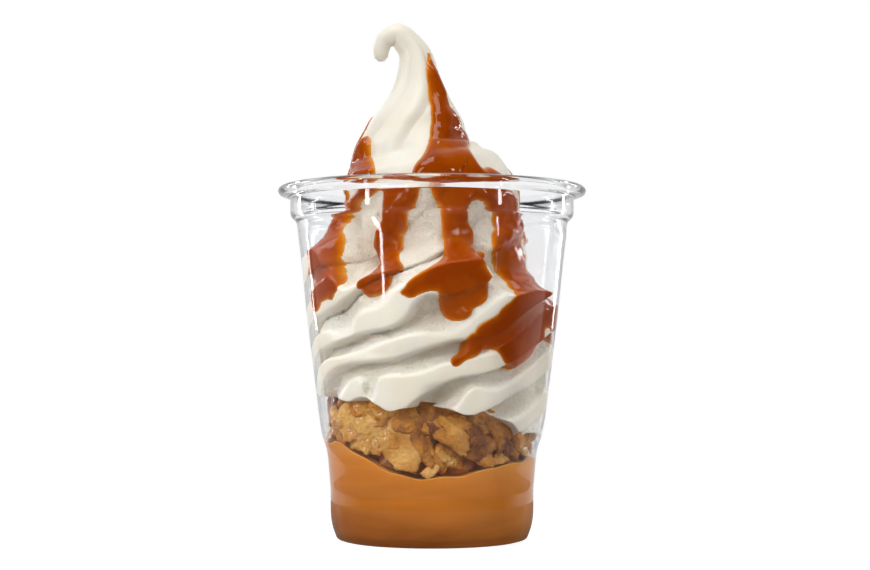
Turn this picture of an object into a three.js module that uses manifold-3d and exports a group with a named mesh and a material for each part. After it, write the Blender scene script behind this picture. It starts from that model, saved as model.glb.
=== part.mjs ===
// A soft-serve sundae in its clear cup, in millimetres: +Z is up and -Y is the side that is looked at.
// From the bottom up it holds a pool of caramel sauce, a layer of broken biscuit, and a swirl of
// soft ice cream pressed against the wall, whose free top is wound into a curl and runs with caramel.
import * as THREE from "three";
import { mergeVertices } from "three/addons/utils/BufferGeometryUtils.js";
import Module from "manifold-3d";

const wasm = await Module();
wasm.setup();

const { degToRad, clamp, lerp, smoothstep, euclideanModulo } = THREE.MathUtils;
const TURN = 360;
const RING_START = -152.5; // rings start on an edge between two panels of the cup
const GAP = 0.3; // free space left between two neighbouring pieces

// ---------------------------------------------------------------- small tools

// Value at x on a smooth curve through [x, value] points that never overshoots them.
function track(points, x) {
  const last = points.length - 1;
  const at = clamp(x, points[0][0], points[last][0]);
  let i = 0;
  while (i < last - 1 && at >= points[i + 1][0]) i += 1;
  const step = (k) => points[k + 1][0] - points[k][0];
  const slope = (k) => (points[k + 1][1] - points[k][1]) / step(k);
  const tangent = (k) => {
    if (k === 0) return slope(0);
    if (k === last) return slope(last - 1);
    const [before, after] = [slope(k - 1), slope(k)];
    if (before * after <= 0) return 0;
    return (step(k - 1) + step(k)) / (step(k - 1) / after + step(k) / before);
  };
  const h = step(i);
  const t = (at - points[i][0]) / h;
  const rise = t * t * (3 - 2 * t);
  const bend = h * t * (1 - t) * ((1 - t) * tangent(i) - t * tangent(i + 1));
  return lerp(points[i][1], points[i + 1][1], rise) + bend;
}

// A soft hill of the given height around (angle, z), with half-widths in degrees and millimetres.
function hill(angle, z, [angle0, z0, wide, tall, height]) {
  return height * Math.exp(-(((angle - angle0) / wide) ** 2) - ((z - z0) / tall) ** 2);
}

// Lower of two values, with the corner between them rounded over about `soft`.
function softMin(a, b, soft) {
  return -soft * Math.log(Math.exp(-(a - b) / soft) + 1) + b;
}

// Point at a radius and height, with the angle counted from the looked-at side towards +X.
function polar(radius, angle, z) {
  const a = degToRad(angle);
  return new THREE.Vector3(radius * Math.sin(a), -radius * Math.cos(a), z);
}

// Closed skin over a stack of rings, each with as many points as the one before it, half or twice
// as many. The first and the last ring are closed on the given points.
function loft(first, rings, last) {
  const corners = [];
  const face = (...points) => points.forEach((p) => corners.push(p.x, p.y, p.z));
  rings[0].forEach((p, k, ring) => face(first, ring[(k + 1) % ring.length], p));
  for (let row = 1; row < rings.length; row += 1) {
    const [low, high] = [rings[row - 1], rings[row]];
    const most = Math.max(low.length, high.length);
    const pick = (ring, k) => ring[Math.floor((k * ring.length) / most) % ring.length];
    for (let k = 0; k < most; k += 1) {
      const [a, b, c, d] = [pick(low, k), pick(low, k + 1), pick(high, k + 1), pick(high, k)];
      if (a !== b) face(a, b, c);
      if (c !== d) face(a, c, d);
    }
  }
  rings.at(-1).forEach((p, k, ring) => face(last, p, ring[(k + 1) % ring.length]));
  const skin = new THREE.BufferGeometry();
  skin.setAttribute("position", new THREE.Float32BufferAttribute(corners, 3));
  return skin;
}

// The same angle between -180 and 180, where 0 is the looked-at side.
function wrapped(angle) {
  return euclideanModulo(angle + 180, TURN) - 180;
}

function ringAt(count, pointAt) {
  return Array.from({ length: count }, (_, k) => pointAt(wrapped(RING_START + (k * TURN) / count)));
}

function toSolid(skin) {
  const merged = mergeVertices(skin, 1e-4);
  return new wasm.Manifold(
    new wasm.Mesh({
      numProp: 3,
      vertProperties: new Float32Array(merged.getAttribute("position").array),
      triVerts: new Uint32Array(merged.index.array),
    }),
  );
}

function toGeometry(solid) {
  const mesh = solid.getMesh();
  const skin = new THREE.BufferGeometry();
  skin.setAttribute("position", new THREE.BufferAttribute(mesh.vertProperties, 3));
  skin.setIndex(new THREE.BufferAttribute(mesh.triVerts, 1));
  return skin;
}

// ---------------------------------------------------------------- cup

// Thin clear cup: plain round foot, a shoulder, a tapering body of eight near-flat panels, an
// upright collar and a rolled lip. The radius is that of the panel middles.
const WALL = 0.7;
const FOOT_RECESS = 1.2;
const CUP_POINTS = 40;
const PANELS = 8;
const PANEL_EDGE_AT = -62.5;
const PANEL_BULGE = 1.0;
const CUP_OUTSIDE = [
  // height, radius, share of the panel edges' bulge
  [0, 26.4, 0],
  [0.5, 28.1, 0],
  [1.8, 28.9, 0],
  [17.2, 30.5, 0],
  [27, 31.5, 0],
  [31.6, 32.9, 0.1],
  [36, 33.6, 0.8],
  [44, 34.6, 1],
  [66, 37.3, 1],
  [90, 39.9, 1],
  [94.8, 40.6, 0.1],
  [96.6, 42.1, 0],
  [97.6, 42.35, 0],
  [101.6, 42.35, 0],
];
const LIP = [
  [102.3, 43.6],
  [103.2, 45.6],
  [104.2, 46],
  [105.2, 45.3],
  [105.6, 43.9],
  [105, 42.5],
  [103, 41.65],
];

// How far the wall stands out at an angle: 1 on a panel edge, 0 in the middle of a panel.
function panelEdge(angle) {
  const half = 180 / PANELS;
  const off = Math.abs(euclideanModulo(angle - PANEL_EDGE_AT + half, 2 * half) - half);
  const flat = Math.cos(degToRad(half)) / Math.cos(degToRad(half - off));
  return (flat - Math.cos(degToRad(half))) / (1 - Math.cos(degToRad(half)));
}

function wallOutside(angle, z) {
  const rows = CUP_OUTSIDE;
  let i = 0;
  while (i < rows.length - 2 && z >= rows[i + 1][0]) i += 1;
  const t = clamp((z - rows[i][0]) / (rows[i + 1][0] - rows[i][0]), 0, 1);
  const share = lerp(rows[i][2], rows[i + 1][2], t);
  return lerp(rows[i][1], rows[i + 1][1], t) + PANEL_BULGE * share * panelEdge(angle);
}

function wallInside(angle, z) {
  return wallOutside(angle, z) - WALL;
}

function makeCup() {
  const lathe = (radius, z) => ringAt(CUP_POINTS, (angle) => polar(radius, angle, z));
  const outside = CUP_OUTSIDE.map(([z]) =>
    ringAt(CUP_POINTS, (angle) => polar(wallOutside(angle, z), angle, z)),
  );
  const lip = LIP.map(([z, radius]) => lathe(radius, z));
  const inside = [97.7, 96.5, 94.6, 90, 44, 36, 31.4, 27].map((z) =>
    ringAt(CUP_POINTS, (angle) => polar(wallInside(angle, z), angle, z)),
  );
  const floor = FOOT_RECESS + WALL;
  const rings = [
    lathe(22.2, FOOT_RECESS),
    lathe(23.6, 0),
    ...outside,
    ...lip,
    ...inside,
    lathe(28.25, 2.4),
    lathe(27.2, 1.1),
    lathe(23.8, WALL + 0.1),
    lathe(21.9, floor),
  ];
  return loft(polar(0, 0, FOOT_RECESS), rings, polar(0, 0, floor));
}

// ---------------------------------------------------------------- levels between the layers

// Heights where the layers meet the wall: the sauce lies lower at the looked-at side and the
// biscuit climbs to the left.
const SAUCE_FLOOR = 2.3;
const SAUCE_LEVEL = 24.6;
const BISCUIT_LEVEL = 38.0;
const LAYER_POINTS = 40;

function sauceTop(angle, share) {
  const a = degToRad(angle);
  const wave = -1.75 * Math.cos(a) - 2.47 * Math.sin(a) - 2.4 * Math.cos(2 * a) + 1.2;
  return SAUCE_LEVEL + wave * share;
}

function biscuitTop(angle, share) {
  const a = degToRad(angle);
  const wave = 2.2 * Math.cos(a) - 5.6 * Math.sin(a) + 1.1 * Math.sin(3 * a + 0.6);
  return BISCUIT_LEVEL + wave * share;
}

// A block of one layer out to the cup's wall less `clear`, from the height `bottom` to the height
// `top`, both by angle and share of the radius. `sides` says how far up the wall its rings lie.
function layer(count, sides, bottom, top, clear) {
  const rings = sides.map((t) =>
    ringAt(count, (angle) => {
      const z = lerp(bottom(angle, 1), top(angle, 1), t);
      return polar(wallInside(angle, z) - clear, angle, z);
    }),
  );
  return loft(polar(0, 0, bottom(0, 0)), rings, polar(0, 0, top(0, 0)));
}

function makeSauce() {
  const floor = () => SAUCE_FLOOR;
  return layer(LAYER_POINTS, [0, 0.35, 0.75, 0.9, 1], floor, sauceTop, GAP);
}

// ---------------------------------------------------------------- broken biscuit

// Crumbled biscuit flakes, two to three millimetres thick: irregular, slightly dished slabs.
// [angle, height, width, tall, turned to one side, leaned back, spin], sizes in millimetres.
const FLAKE_THICK = 2.8;
const FLAKE_CORNERS = 8;
const SHOWN_FLAKES = [
  [-19, 31.5, 18, 18, -8, 6, 20],
  [-40, 33.5, 15, 14, 14, -10, 60],
  [12, 35.5, 30, 9, 6, 20, -28],
  [27, 30.5, 16, 12, -6, 14, -30],
  [6, 28.0, 12, 10, 48, 4, -20],
  [-4, 30.0, 10, 15, 58, 0, -24],
  [46, 30.5, 9, 13, 62, 6, -40],
  [56, 28.5, 9, 13, 58, 4, -44],
  [37, 33.0, 10, 11, 50, 10, -36],
  [-58, 37.0, 13, 12, 10, 14, 10],
  [-36, 41.0, 11, 7, -20, 30, 40],
  [-68, 34.0, 12, 12, -24, 6, 75],
];
const MORE_FLAKES = 12;
const HEAP_OVER_SAUCE = 0.6;
const HEAP_BELOW_ICE = 0.8;

function makeFlake(seed, [angle, z, width, tall, turned, leaned, spin]) {
  const noise = (k, n) => Math.sin(seed * 12.9 + k * 4.1 * n + n * 7.7);
  const corner = (k, share, up) => {
    const a = (k * 2 * Math.PI) / FLAKE_CORNERS;
    const ragged = share * (1 + 0.16 * noise(k, 1) + 0.08 * noise(k, 2));
    const x = 0.5 * width * ragged * Math.cos(a);
    const y = 0.5 * tall * ragged * Math.sin(a);
    const dish = 0.012 * (x * x + 0.4 * y * y);
    return new THREE.Vector3(x, y, up - dish + 0.35 * noise(k, 3) * share);
  };
  const outline = (share, up) =>
    Array.from({ length: FLAKE_CORNERS }, (_, k) => corner(k, share, up));
  const half = FLAKE_THICK / 2;
  const flake = loft(
    new THREE.Vector3(0, 0, -half),
    [outline(0.84, -half * 0.85), outline(1, 0), outline(0.8, half * 0.85)],
    new THREE.Vector3(0, 0, half),
  );
  // The flake is made flat, then stood up with its face looking out of the cup.
  const place = new THREE.Matrix4()
    .makeTranslation(polar(wallInside(angle, z) - 2.6, angle, z))
    .multiply(new THREE.Matrix4().makeRotationZ(degToRad(angle)))
    .multiply(new THREE.Matrix4().makeRotationX(degToRad(90 - leaned)))
    .multiply(new THREE.Matrix4().makeRotationY(degToRad(turned)))
    .multiply(new THREE.Matrix4().makeRotationZ(degToRad(spin)));
  return toSolid(flake.applyMatrix4(place));
}

function makeBiscuit() {
  const low = (angle, share) => sauceTop(angle, share) + HEAP_OVER_SAUCE;
  const high = (angle, share) => biscuitTop(angle, share) - HEAP_BELOW_ICE;
  const room = toSolid(layer(LAYER_POINTS / 2, [0, 0.5, 1], low, high, GAP + 0.2));
  const coreLow = (angle, share) => low(angle, share) - 1;
  const coreHigh = (angle, share) => high(angle, share) + 1;
  const core = toSolid(layer(LAYER_POINTS / 2, [0, 1], coreLow, coreHigh, 3.3));
  const more = Array.from({ length: MORE_FLAKES }, (_, k) => {
    const angle = 84 + (k * 205) / (MORE_FLAKES - 1);
    const z = lerp(sauceTop(angle, 1), biscuitTop(angle, 1), k % 2 ? 0.64 : 0.34);
    const size = 13 + 4 * Math.sin(k * 2.1);
    return [angle, z, size, 0.8 * size, 34 * Math.sin(k * 1.7), 14 * Math.cos(k * 2.9), 47 * k];
  });
  const heap = [...SHOWN_FLAKES, ...more].reduce(
    (whole, flake, k) => whole.add(makeFlake(k + 1, flake)),
    core,
  );
  return toGeometry(heap.intersect(room));
}

// ---------------------------------------------------------------- ice cream

// The swirl is one rope of soft ice cream wound up and to the left. `CREST` is the height of the
// rope's shoulder by angle, and the next turn lies one pitch above. The rope itself is ribbed by
// the nozzle: its ribs lean, and where they meet the wall they are pressed flat against it.
const PITCH = 43.2;
const CREST = [
  [-180, 105.6],
  [-120, 99],
  [-90, 94.7],
  [-65, 91],
  [-52, 82.5],
  [-42, 77],
  [-30, 79.5],
  [5, 84],
  [20, 85],
  [30, 78.5],
  [42, 75],
  [58, 76],
  [75, 75.4],
  [120, 68],
  [180, 62.4],
];
const ICE_TO_WALL = 1.4;
const PRESSED_BELOW = 101;

// Radius of the free rope by the angle unwound along it, and how far it follows the wall instead.
const ROPE_RADIUS = [
  [-900, 16],
  [-640, 17],
  [-540, 23],
  [-450, 26.3],
  [-275, 27],
  [-225, 29.5],
  [-180, 33.5],
  [-120, 40],
  [180, 40],
];
const ROPE_ON_WALL = [
  [-275, 0],
  [-180, 0.45],
  [-110, 1],
  [180, 1],
];

// Ribs: how many, how far apart their lower edges are, and how deep the furrows are by height.
const RIBS = 7;
const RIB_SPACING = 13;
const RIB_EDGE = 45.5;
const RIB_SLOPE = (RIBS * RIB_SPACING) / TURN;
const RIB_DEPTH = [
  [30, 5.5],
  [76, 5],
  [90, 2.6],
  [100, 2],
  [114, 1.8],
  [130, 1.3],
  [142, 0.7],
  [152, 0.1],
  [165, 0],
];
// Degrees the ribs have turned by each height: steadily in the cup, hardly at all in the peak.
const RIB_TWIST = [
  [20, (20 - RIB_EDGE) / RIB_SLOPE],
  [92, (92 - RIB_EDGE) / RIB_SLOPE],
  [104, (92 - RIB_EDGE) / RIB_SLOPE + 34],
  [118, (92 - RIB_EDGE) / RIB_SLOPE + 66],
  [135, (92 - RIB_EDGE) / RIB_SLOPE + 100],
  [150, (92 - RIB_EDGE) / RIB_SLOPE + 112],
  [165, (92 - RIB_EDGE) / RIB_SLOPE + 118],
];
// Places where the rib edges sag or climb, and places where the surface falls back or fills out:
// [angle, height, half-width in degrees, half-height, amount].
const EDGE_SHIFTS = [
  [-48, 50, 24, 8, 7],
  [-20, 66, 11, 5, -4],
  [-3, 72, 9, 5, 2.5],
  [30, 62, 16, 6, -2],
  [-20, 42, 9, 6, -2.5],
  [12, 47, 10, 6, 1.5],
  [-36, 44, 6, 5, 4],
  [110, 60, 20, 8, 4],
  [170, 74, 14, 9, -4],
  [-130, 66, 18, 9, 5],
];
const DENTS = [
  [3, 66, 13, 5, -4.5],
  [-49, 66, 6, 11, -5],
  [-40, 64, 5, 6, -2],
  [4, 43, 11, 5, -4],
  [-32, 45, 6, 4, -4],
  [45, 42, 14, 5, -3],
  [-20, 46, 9, 6, 3],
  [21, 43, 6, 5, 3.5],
  [-30, 55.5, 22, 2.4, -1.5],
  [2, 56.5, 16, 2.2, -1.8],
  [130, 52, 13, 6, -4],
  [-150, 58, 13, 7, -4.5],
  [-95, 74, 10, 8, -4],
];

// The peak: the middle line leans and ends in a hook, and nothing is wider than PEAK_RADIUS.
// All three go by the level, which is the height up to LEVEL_TOP and then the way along the hook.
const PEAK_X = [
  [30, 0],
  [96, 0],
  [104, -0.3],
  [110.7, -2],
  [114, -3.6],
  [118, -4.8],
  [122, -4.6],
  [126, -4.1],
  [134, -3.75],
  [138, -3.9],
  [141.5, -4.2],
  [144.9, -5],
  [148.2, -6.6],
  [152.8, -10.6],
  [157.2, -14.3],
  [160.9, -15.3],
  [163.5, -15.1],
];
const PEAK_Z = [
  [30, 30],
  [141.5, 141.5],
  [144.9, 144.9],
  [148.2, 147.7],
  [152.8, 151.1],
  [157.2, 149.4],
  [160.9, 145.9],
  [163.5, 143.3],
];
const PEAK_RADIUS = [
  [30, 70],
  [84, 40],
  [92, 29.5],
  [100, 27.3],
  [105, 26.2],
  [108, 25.2],
  [110.7, 23.6],
  [112.5, 21.8],
  [114.3, 19.6],
  [118, 17.3],
  [122, 15.3],
  [126, 13.6],
  [130, 11.2],
  [134, 8.85],
  [138, 7.06],
  [141.5, 6],
  [144.9, 5.1],
  [148.2, 4.3],
  [152.8, 3.5],
  [157.2, 2.7],
  [160.9, 2.35],
  [162.6, 1.9],
  [163.2, 1.0],
];
const TIP_LEVEL = 163.5;

function ropeRadius(unwound, angle, z) {
  const free = track(ROPE_RADIUS, unwound);
  return lerp(free, wallInside(angle, z) + 1.6, track(ROPE_ON_WALL, unwound));
}

// Height over the rope's lower shoulder.
function overCrest(angle, z) {
  return z - track(CREST, angle);
}

// Depth of the furrow between the ribs, 0 on the crown of a rib.
function furrow(angle, z) {
  const wave = 0.05 * Math.sin(degToRad(3 * angle + 50) - 0.13 * z);
  const ripple = 0.04 * Math.sin(degToRad(5 * angle) + 0.09 * z);
  const shift = z < 96 ? EDGE_SHIFTS.reduce((sum, s) => sum + hill(angle, z, s), 0) : 0;
  const turned = (track(RIB_TWIST, z) - angle) * (RIBS / TURN);
  const phase = turned - shift / RIB_SPACING + wave + ripple;
  const across = phase - Math.floor(phase);
  const rib = euclideanModulo(Math.floor(phase), RIBS);
  const sharp = smoothstep(across, 0, 0.12) * (1 - smoothstep(across, 0.35, 1.02));
  const soft = 0.5 - 0.5 * Math.cos(2 * Math.PI * across ** 0.8);
  const free = smoothstep(overCrest(angle, z), -6, 8);
  const depth = track(RIB_DEPTH, z) * (1 + 0.22 * Math.sin(2.4 * rib + 0.6));
  return depth * (1 - lerp(sharp, soft, free));
}

// Radius of the ice cream round the middle line, by angle and level, kept `clear` of the wall.
function iceRadius(anyAngle, z, clear = ICE_TO_WALL) {
  const angle = wrapped(anyAngle);
  const over = overCrest(angle, z);
  const turns = Math.floor(over / PITCH);
  const up = over - turns * PITCH;
  const unwound = angle - TURN * (turns + 1);
  const here = ropeRadius(unwound, angle, z);
  const shoulder = lerp(5, 15, smoothstep(angle, 35, 70) * (1 - smoothstep(angle, 100, 150)));
  const toNext = 0.6 * smoothstep(up, PITCH - 4, PITCH);
  const toLast = 0.4 * (1 - smoothstep(up, 0, shoulder));
  let radius = here;
  radius += (ropeRadius(unwound - TURN, angle, z) - here) * toNext;
  radius += (ropeRadius(unwound + TURN, angle, z) - here) * toLast;
  radius -= furrow(angle, z);
  const inRope = 1 - smoothstep(over, -1, 1);
  radius += inRope * DENTS.reduce((sum, dent) => sum + hill(angle, z, dent), 0);
  const most = track(PEAK_RADIUS, z);
  const peak = smoothstep(z, 112, 116);
  radius = lerp(softMin(radius, most, 1.2), most - 0.9 * furrow(angle, z), peak);
  return z < PRESSED_BELOW ? softMin(radius, wallInside(angle, z) - clear, 0.25) : radius;
}

// Point on the ice cream's skin, `out` millimetres off it.
function onIce(angle, level, out = 0, clear = ICE_TO_WALL) {
  const lean = smoothstep(level, 96, 142);
  const dx = ((track(PEAK_X, level + 0.2) - track(PEAK_X, level - 0.2)) / 0.4) * lean;
  const dz = (track(PEAK_Z, level + 0.2) - track(PEAK_Z, level - 0.2)) / 0.4;
  const long = Math.hypot(dx, dz) || 1;
  const wallRoom = level < PRESSED_BELOW ? wallInside(angle, level) - clear : Infinity;
  const radius = Math.min(iceRadius(angle, level) + out, wallRoom);
  const side = radius * Math.sin(degToRad(angle));
  return new THREE.Vector3(
    track(PEAK_X, level) + (side * dz) / long,
    -radius * Math.cos(degToRad(angle)),
    track(PEAK_Z, level) - (side * dx) / long,
  );
}

const BODY_POINTS = 60;
const BODY_ROWS = 29;
const BODY_TOP = 116;

// How far out the underside of the swirl reaches, as a share of the room inside the cup.
function footShare(angle) {
  const z = biscuitTop(angle, 1);
  return iceRadius(angle, z) / wallInside(angle, z);
}

function makeSwirl() {
  const foot = (angle) => biscuitTop(angle, footShare(angle));
  const body = Array.from({ length: BODY_ROWS }, (_, row) =>
    ringAt(BODY_POINTS, (angle) => {
      const level = lerp(foot(angle), BODY_TOP, row / (BODY_ROWS - 1));
      return onIce(angle, level);
    }),
  );
  const peakLevels = [119.5, 123, 126.5, 130, 133.5, 137, 140, 142.6];
  const peak = peakLevels.map((level) => ringAt(BODY_POINTS / 2, (angle) => onIce(angle, level)));
  const hookLevels = [145, 147.3, 149.6, 151.8, 154, 156.2, 158.4, 160.4, 162, 163.1];
  const hook = hookLevels.map((level) => ringAt(BODY_POINTS / 4, (angle) => onIce(angle, level)));
  const tip = new THREE.Vector3(track(PEAK_X, TIP_LEVEL), 0, track(PEAK_Z, TIP_LEVEL));
  const middle = polar(0, 0, biscuitTop(0, 0));
  return toSolid(loft(middle, [...body, ...peak, ...hook], tip));
}

// ---------------------------------------------------------------- caramel on the ice cream

// Each run of caramel goes through [angle, level, half-width] points; the runs from the peak
// reach the wall and spread out there. Thickest along the middle, rounded off at the rim.
const CARAMEL_THICK = 2.1;
const CARAMEL_RUNS = [
  // the broad flow down the looked-at side of the peak, with its two skirts
  [[45.9, 143.9, 1], [41.3, 142.7, 1], [33.8, 138.5, 1.9], [35.6, 134.8, 2.5], [32.8, 127.6, 3.6],
   [43, 122.2, 6.9], [36, 119, 6.1], [24.3, 114.2, 5.2], [19, 109.2, 7.6], [15.3, 104.5, 5.6]],
  [[17, 113.3, 2.6], [8, 110.5, 3.3], [1, 108.4, 4], [-9.6, 106, 1.8], [-14, 104.4, 3.4],
   [-20.6, 100.8, 4.8]],
  [[33.8, 113.6, 1.2], [34.4, 109, 1.7], [41, 106.3, 2], [49.4, 103.6, 4.2]],
  [[24, 104.6, 3.3], [38, 102.2, 3.2], [48, 104.2, 3]],
  // left blob, bridge and the first drip, which ends in two lobes on the wall
  [[-66.4, 119, 1], [-67, 116, 1.1], [-60, 113, 4], [-50.3, 109.6, 5.2], [-46, 106.4, 2.7]],
  [[-46, 104.6, 1.8], [-40, 103.9, 1.2], [-33, 103.4, 1.1], [-26, 103, 2], [-20, 102.6, 2.6]],
  [[-44.4, 105, 3], [-49.5, 103, 2.3], [-57, 101.3, 1.6], [-65.8, 99.6, 1.8], [-74.1, 98.2, 3.1],
   [-72, 92.4, 2.7], [-67, 89.6, 2.8], [-62, 86.5, 3.6], [-58.6, 81.5, 3.6], [-59.7, 78.1, 4.6],
   [-61.3, 73, 4], [-62, 68.9, 1.3]],
  [[-49.6, 75, 2.4], [-50.6, 71.8, 1]],
  // second drip, with the small spur of its foot
  [[-16, 101.5, 3.4], [-21.6, 100, 4.2], [-24.6, 96.4, 4], [-25, 93.2, 4], [-31.9, 86.4, 4.7],
   [-27.4, 85, 2.6], [-24.5, 82, 3.6], [-23.1, 78.8, 3.6], [-27.5, 75.6, 4.4]],
  [[-20.5, 80.6, 2.4], [-16, 80.3, 1]],
  // third drip with its pool, long left tip and right spur
  [[21.2, 104.3, 5.2], [13.7, 102.6, 6], [17.5, 100.6, 3.4], [14.6, 97, 3.6], [15.6, 91, 4.2],
   [18.6, 87, 4.4], [13.6, 81.4, 4.8], [11.8, 78, 6.2], [14.2, 74.6, 6.8], [10.8, 68.6, 4.1]],
  [[8.6, 76.5, 4.8], [0.1, 76.5, 3.6], [-6.9, 74.4, 2.7], [-12, 72.9, 1]],
  [[18.2, 81.7, 3.4], [23.5, 83.3, 1.2], [33.6, 83.4, 1.7]],
  // fourth drip, its pool with the long tip, its lobe, the band along the wall and a side strand
  [[48, 103.6, 4], [54.6, 100, 5.1], [57.1, 96.6, 3.5], [56, 93.4, 5.6], [48.8, 88.2, 4.1],
   [67.1, 87, 6.6], [64.1, 83.5, 5], [61, 80.8, 4.7], [59, 78, 5.5], [56.5, 75.4, 6.4], [55, 70.5, 6.6],
   [49.4, 66, 5.2], [50.1, 61.4, 7.9], [42.9, 59.2, 8.2]],
  [[43.5, 68.6, 4.4], [37.5, 65.2, 4.8], [32.8, 62.8, 4.7], [25.8, 61, 4.2], [20.5, 58.7, 3.2],
   [11, 53.5, 1.6]],
  [[62.7, 69.6, 6.8], [68, 67.4, 4.6], [76.6, 65.2, 4.8], [83, 63.2, 5.5], [88, 62, 4]],
  [[64.4, 100.4, 3.2], [64.9, 96.1, 1], [76.9, 92, 3], [80, 89, 1]],
  // the sides that are turned away
  [[112, 118, 1.6], [112, 112, 3.4], [110, 105, 4.2], [111, 97, 3.6], [113, 87, 3.8], [118, 77, 4],
   [121, 68.5, 4.2], [121, 63, 2.4]],
  [[146, 120, 2], [150, 111, 4.6], [146, 101, 4.2], [142, 91, 3.8], [141, 82, 2.4]],
  [[178, 114, 3], [182, 106, 4.6], [186, 97, 3.6], [190, 88, 2.8]],
  [[-86, 125.5, 0.9], [-92, 121, 1.6], [-103, 113, 3.8], [-108, 105.5, 4.4], [-106, 96, 3.6],
   [-104, 87, 4], [-103, 79, 2.6]],
  [[-140, 114, 3.4], [-144, 106, 4.4], [-142, 97, 3.6], [-138, 89, 4.2], [-136, 81, 2.2]],
];
// Cross-section: [share of the half-width, share of the thickness].
const RUN_SECTION = [
  [-1, -0.9],
  [-0.8, 0.6],
  [0, 1],
  [0.8, 0.6],
  [1, -0.9],
  [0, -3.8],
];
const RUN_STEP = 5;
const RUN_TO_WALL = 0.45;

function makeRun(points) {
  const across = (i) => (iceRadius(points[i][0], points[i][1]) * Math.PI) / 180;
  const flat = points.map(([angle, level], i) => new THREE.Vector3(angle * across(i), level, 0));
  const long = flat.reduce((sum, p, i) => sum + (i ? p.distanceTo(flat[i - 1]) : 0), 0);
  const line = new THREE.CatmullRomCurve3(points.map(([a, z, w]) => new THREE.Vector3(a, z, w)));
  const steps = Math.max(4, Math.round(long / RUN_STEP));
  const rings = Array.from({ length: steps + 1 }, (_, i) => {
    const t = lerp(0.004, 0.996, i / steps);
    const middle = line.getPoint(t);
    const way = line.getTangent(t);
    const perMm = 180 / Math.PI / iceRadius(middle.x, middle.y);
    const along = new THREE.Vector2(way.x / perMm, way.y).normalize();
    const end = Math.min(1, 0.45 + 2.4 * Math.min(t, 1 - t) * steps * 0.22);
    return RUN_SECTION.map(([share, height]) => {
      const off = share * middle.z * end;
      const angle = middle.x - along.y * off * perMm;
      const level = middle.y + along.x * off;
      const out = height * Math.min(CARAMEL_THICK, 0.4 + 0.5 * middle.z);
      return onIce(angle, level, out, RUN_TO_WALL);
    });
  });
  const centre = (ring) =>
    ring.reduce((sum, p) => sum.add(p), new THREE.Vector3()).divideScalar(ring.length);
  const solid = toSolid(loft(centre(rings[0]), rings, centre(rings.at(-1))));
  return solid.volume() > 0 ? solid : toSolid(flipped(rings, centre));
}

function flipped(rings, centre) {
  const turned = rings.map((ring) => ring.toReversed());
  return loft(centre(turned[0]), turned, centre(turned.at(-1)));
}

// Crumbs and slivers left where runs cross are dropped.
const SHORTEST_EDGE = 0.03;

function makeIceCream() {
  const whole = CARAMEL_RUNS.reduce((solid, run) => solid.add(makeRun(run)), makeSwirl());
  const bodies = whole.simplify(SHORTEST_EDGE).decompose();
  const largest = bodies.reduce((best, body) => (body.volume() > best.volume() ? body : best));
  return toGeometry(largest);
}

// ---------------------------------------------------------------- assembly

function piece(name, geometry, color, finish = {}) {
  const material = new THREE.MeshStandardMaterial({ color, roughness: 0.5, ...finish });
  const mesh = new THREE.Mesh(geometry, material);
  mesh.name = name;
  return mesh;
}

const sundae = new THREE.Group();
sundae.name = "sundae";
sundae.add(
  piece("cup", makeCup(), "#e9edf0", { roughness: 0.08, transparent: true, opacity: 0.25 }),
  piece("caramel_sauce", makeSauce(), "#a9601f", { roughness: 0.25 }),
  piece("biscuit_pieces", makeBiscuit(), "#cf9044", { roughness: 0.65 }),
  piece("ice_cream", makeIceCream(), "#f3ecdc", { roughness: 0.45 }),
);

export default sundae;
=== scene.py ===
import math

import bpy
import numpy as np
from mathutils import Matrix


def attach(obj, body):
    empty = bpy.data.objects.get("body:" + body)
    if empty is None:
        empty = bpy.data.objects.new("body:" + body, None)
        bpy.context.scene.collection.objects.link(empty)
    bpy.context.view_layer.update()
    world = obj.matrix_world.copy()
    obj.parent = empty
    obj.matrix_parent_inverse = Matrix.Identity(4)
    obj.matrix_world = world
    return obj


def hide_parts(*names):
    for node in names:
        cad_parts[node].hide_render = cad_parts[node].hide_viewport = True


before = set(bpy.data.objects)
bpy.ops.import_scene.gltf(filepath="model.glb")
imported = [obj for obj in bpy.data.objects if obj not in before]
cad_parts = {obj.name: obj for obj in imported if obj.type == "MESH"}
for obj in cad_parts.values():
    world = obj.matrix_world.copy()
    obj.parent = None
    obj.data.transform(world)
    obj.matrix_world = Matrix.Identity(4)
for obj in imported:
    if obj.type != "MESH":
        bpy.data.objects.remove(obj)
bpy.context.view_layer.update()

# ---------------------------------------------------------------------------------------------
# Camera. It stands level with the middle of the cup, 55 cm in front of it, and is shifted rather
# than tilted, so that the cup's sides stay as upright as in the photograph.
CAMERA_AT = (0.0, -0.550, 0.05615)
CAMERA_LENS = 75.92
CAMERA_SHIFT = (3 / 870, 67 / 870)

camera_data = bpy.data.cameras.new("camera")
camera_data.lens = CAMERA_LENS
camera_data.sensor_width = 36
camera_data.shift_x, camera_data.shift_y = CAMERA_SHIFT
camera = bpy.data.objects.new("camera", camera_data)
camera.location = CAMERA_AT
camera.rotation_euler = (math.pi / 2, 0, 0)
bpy.context.scene.collection.objects.link(camera)
bpy.context.scene.camera = camera

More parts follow.
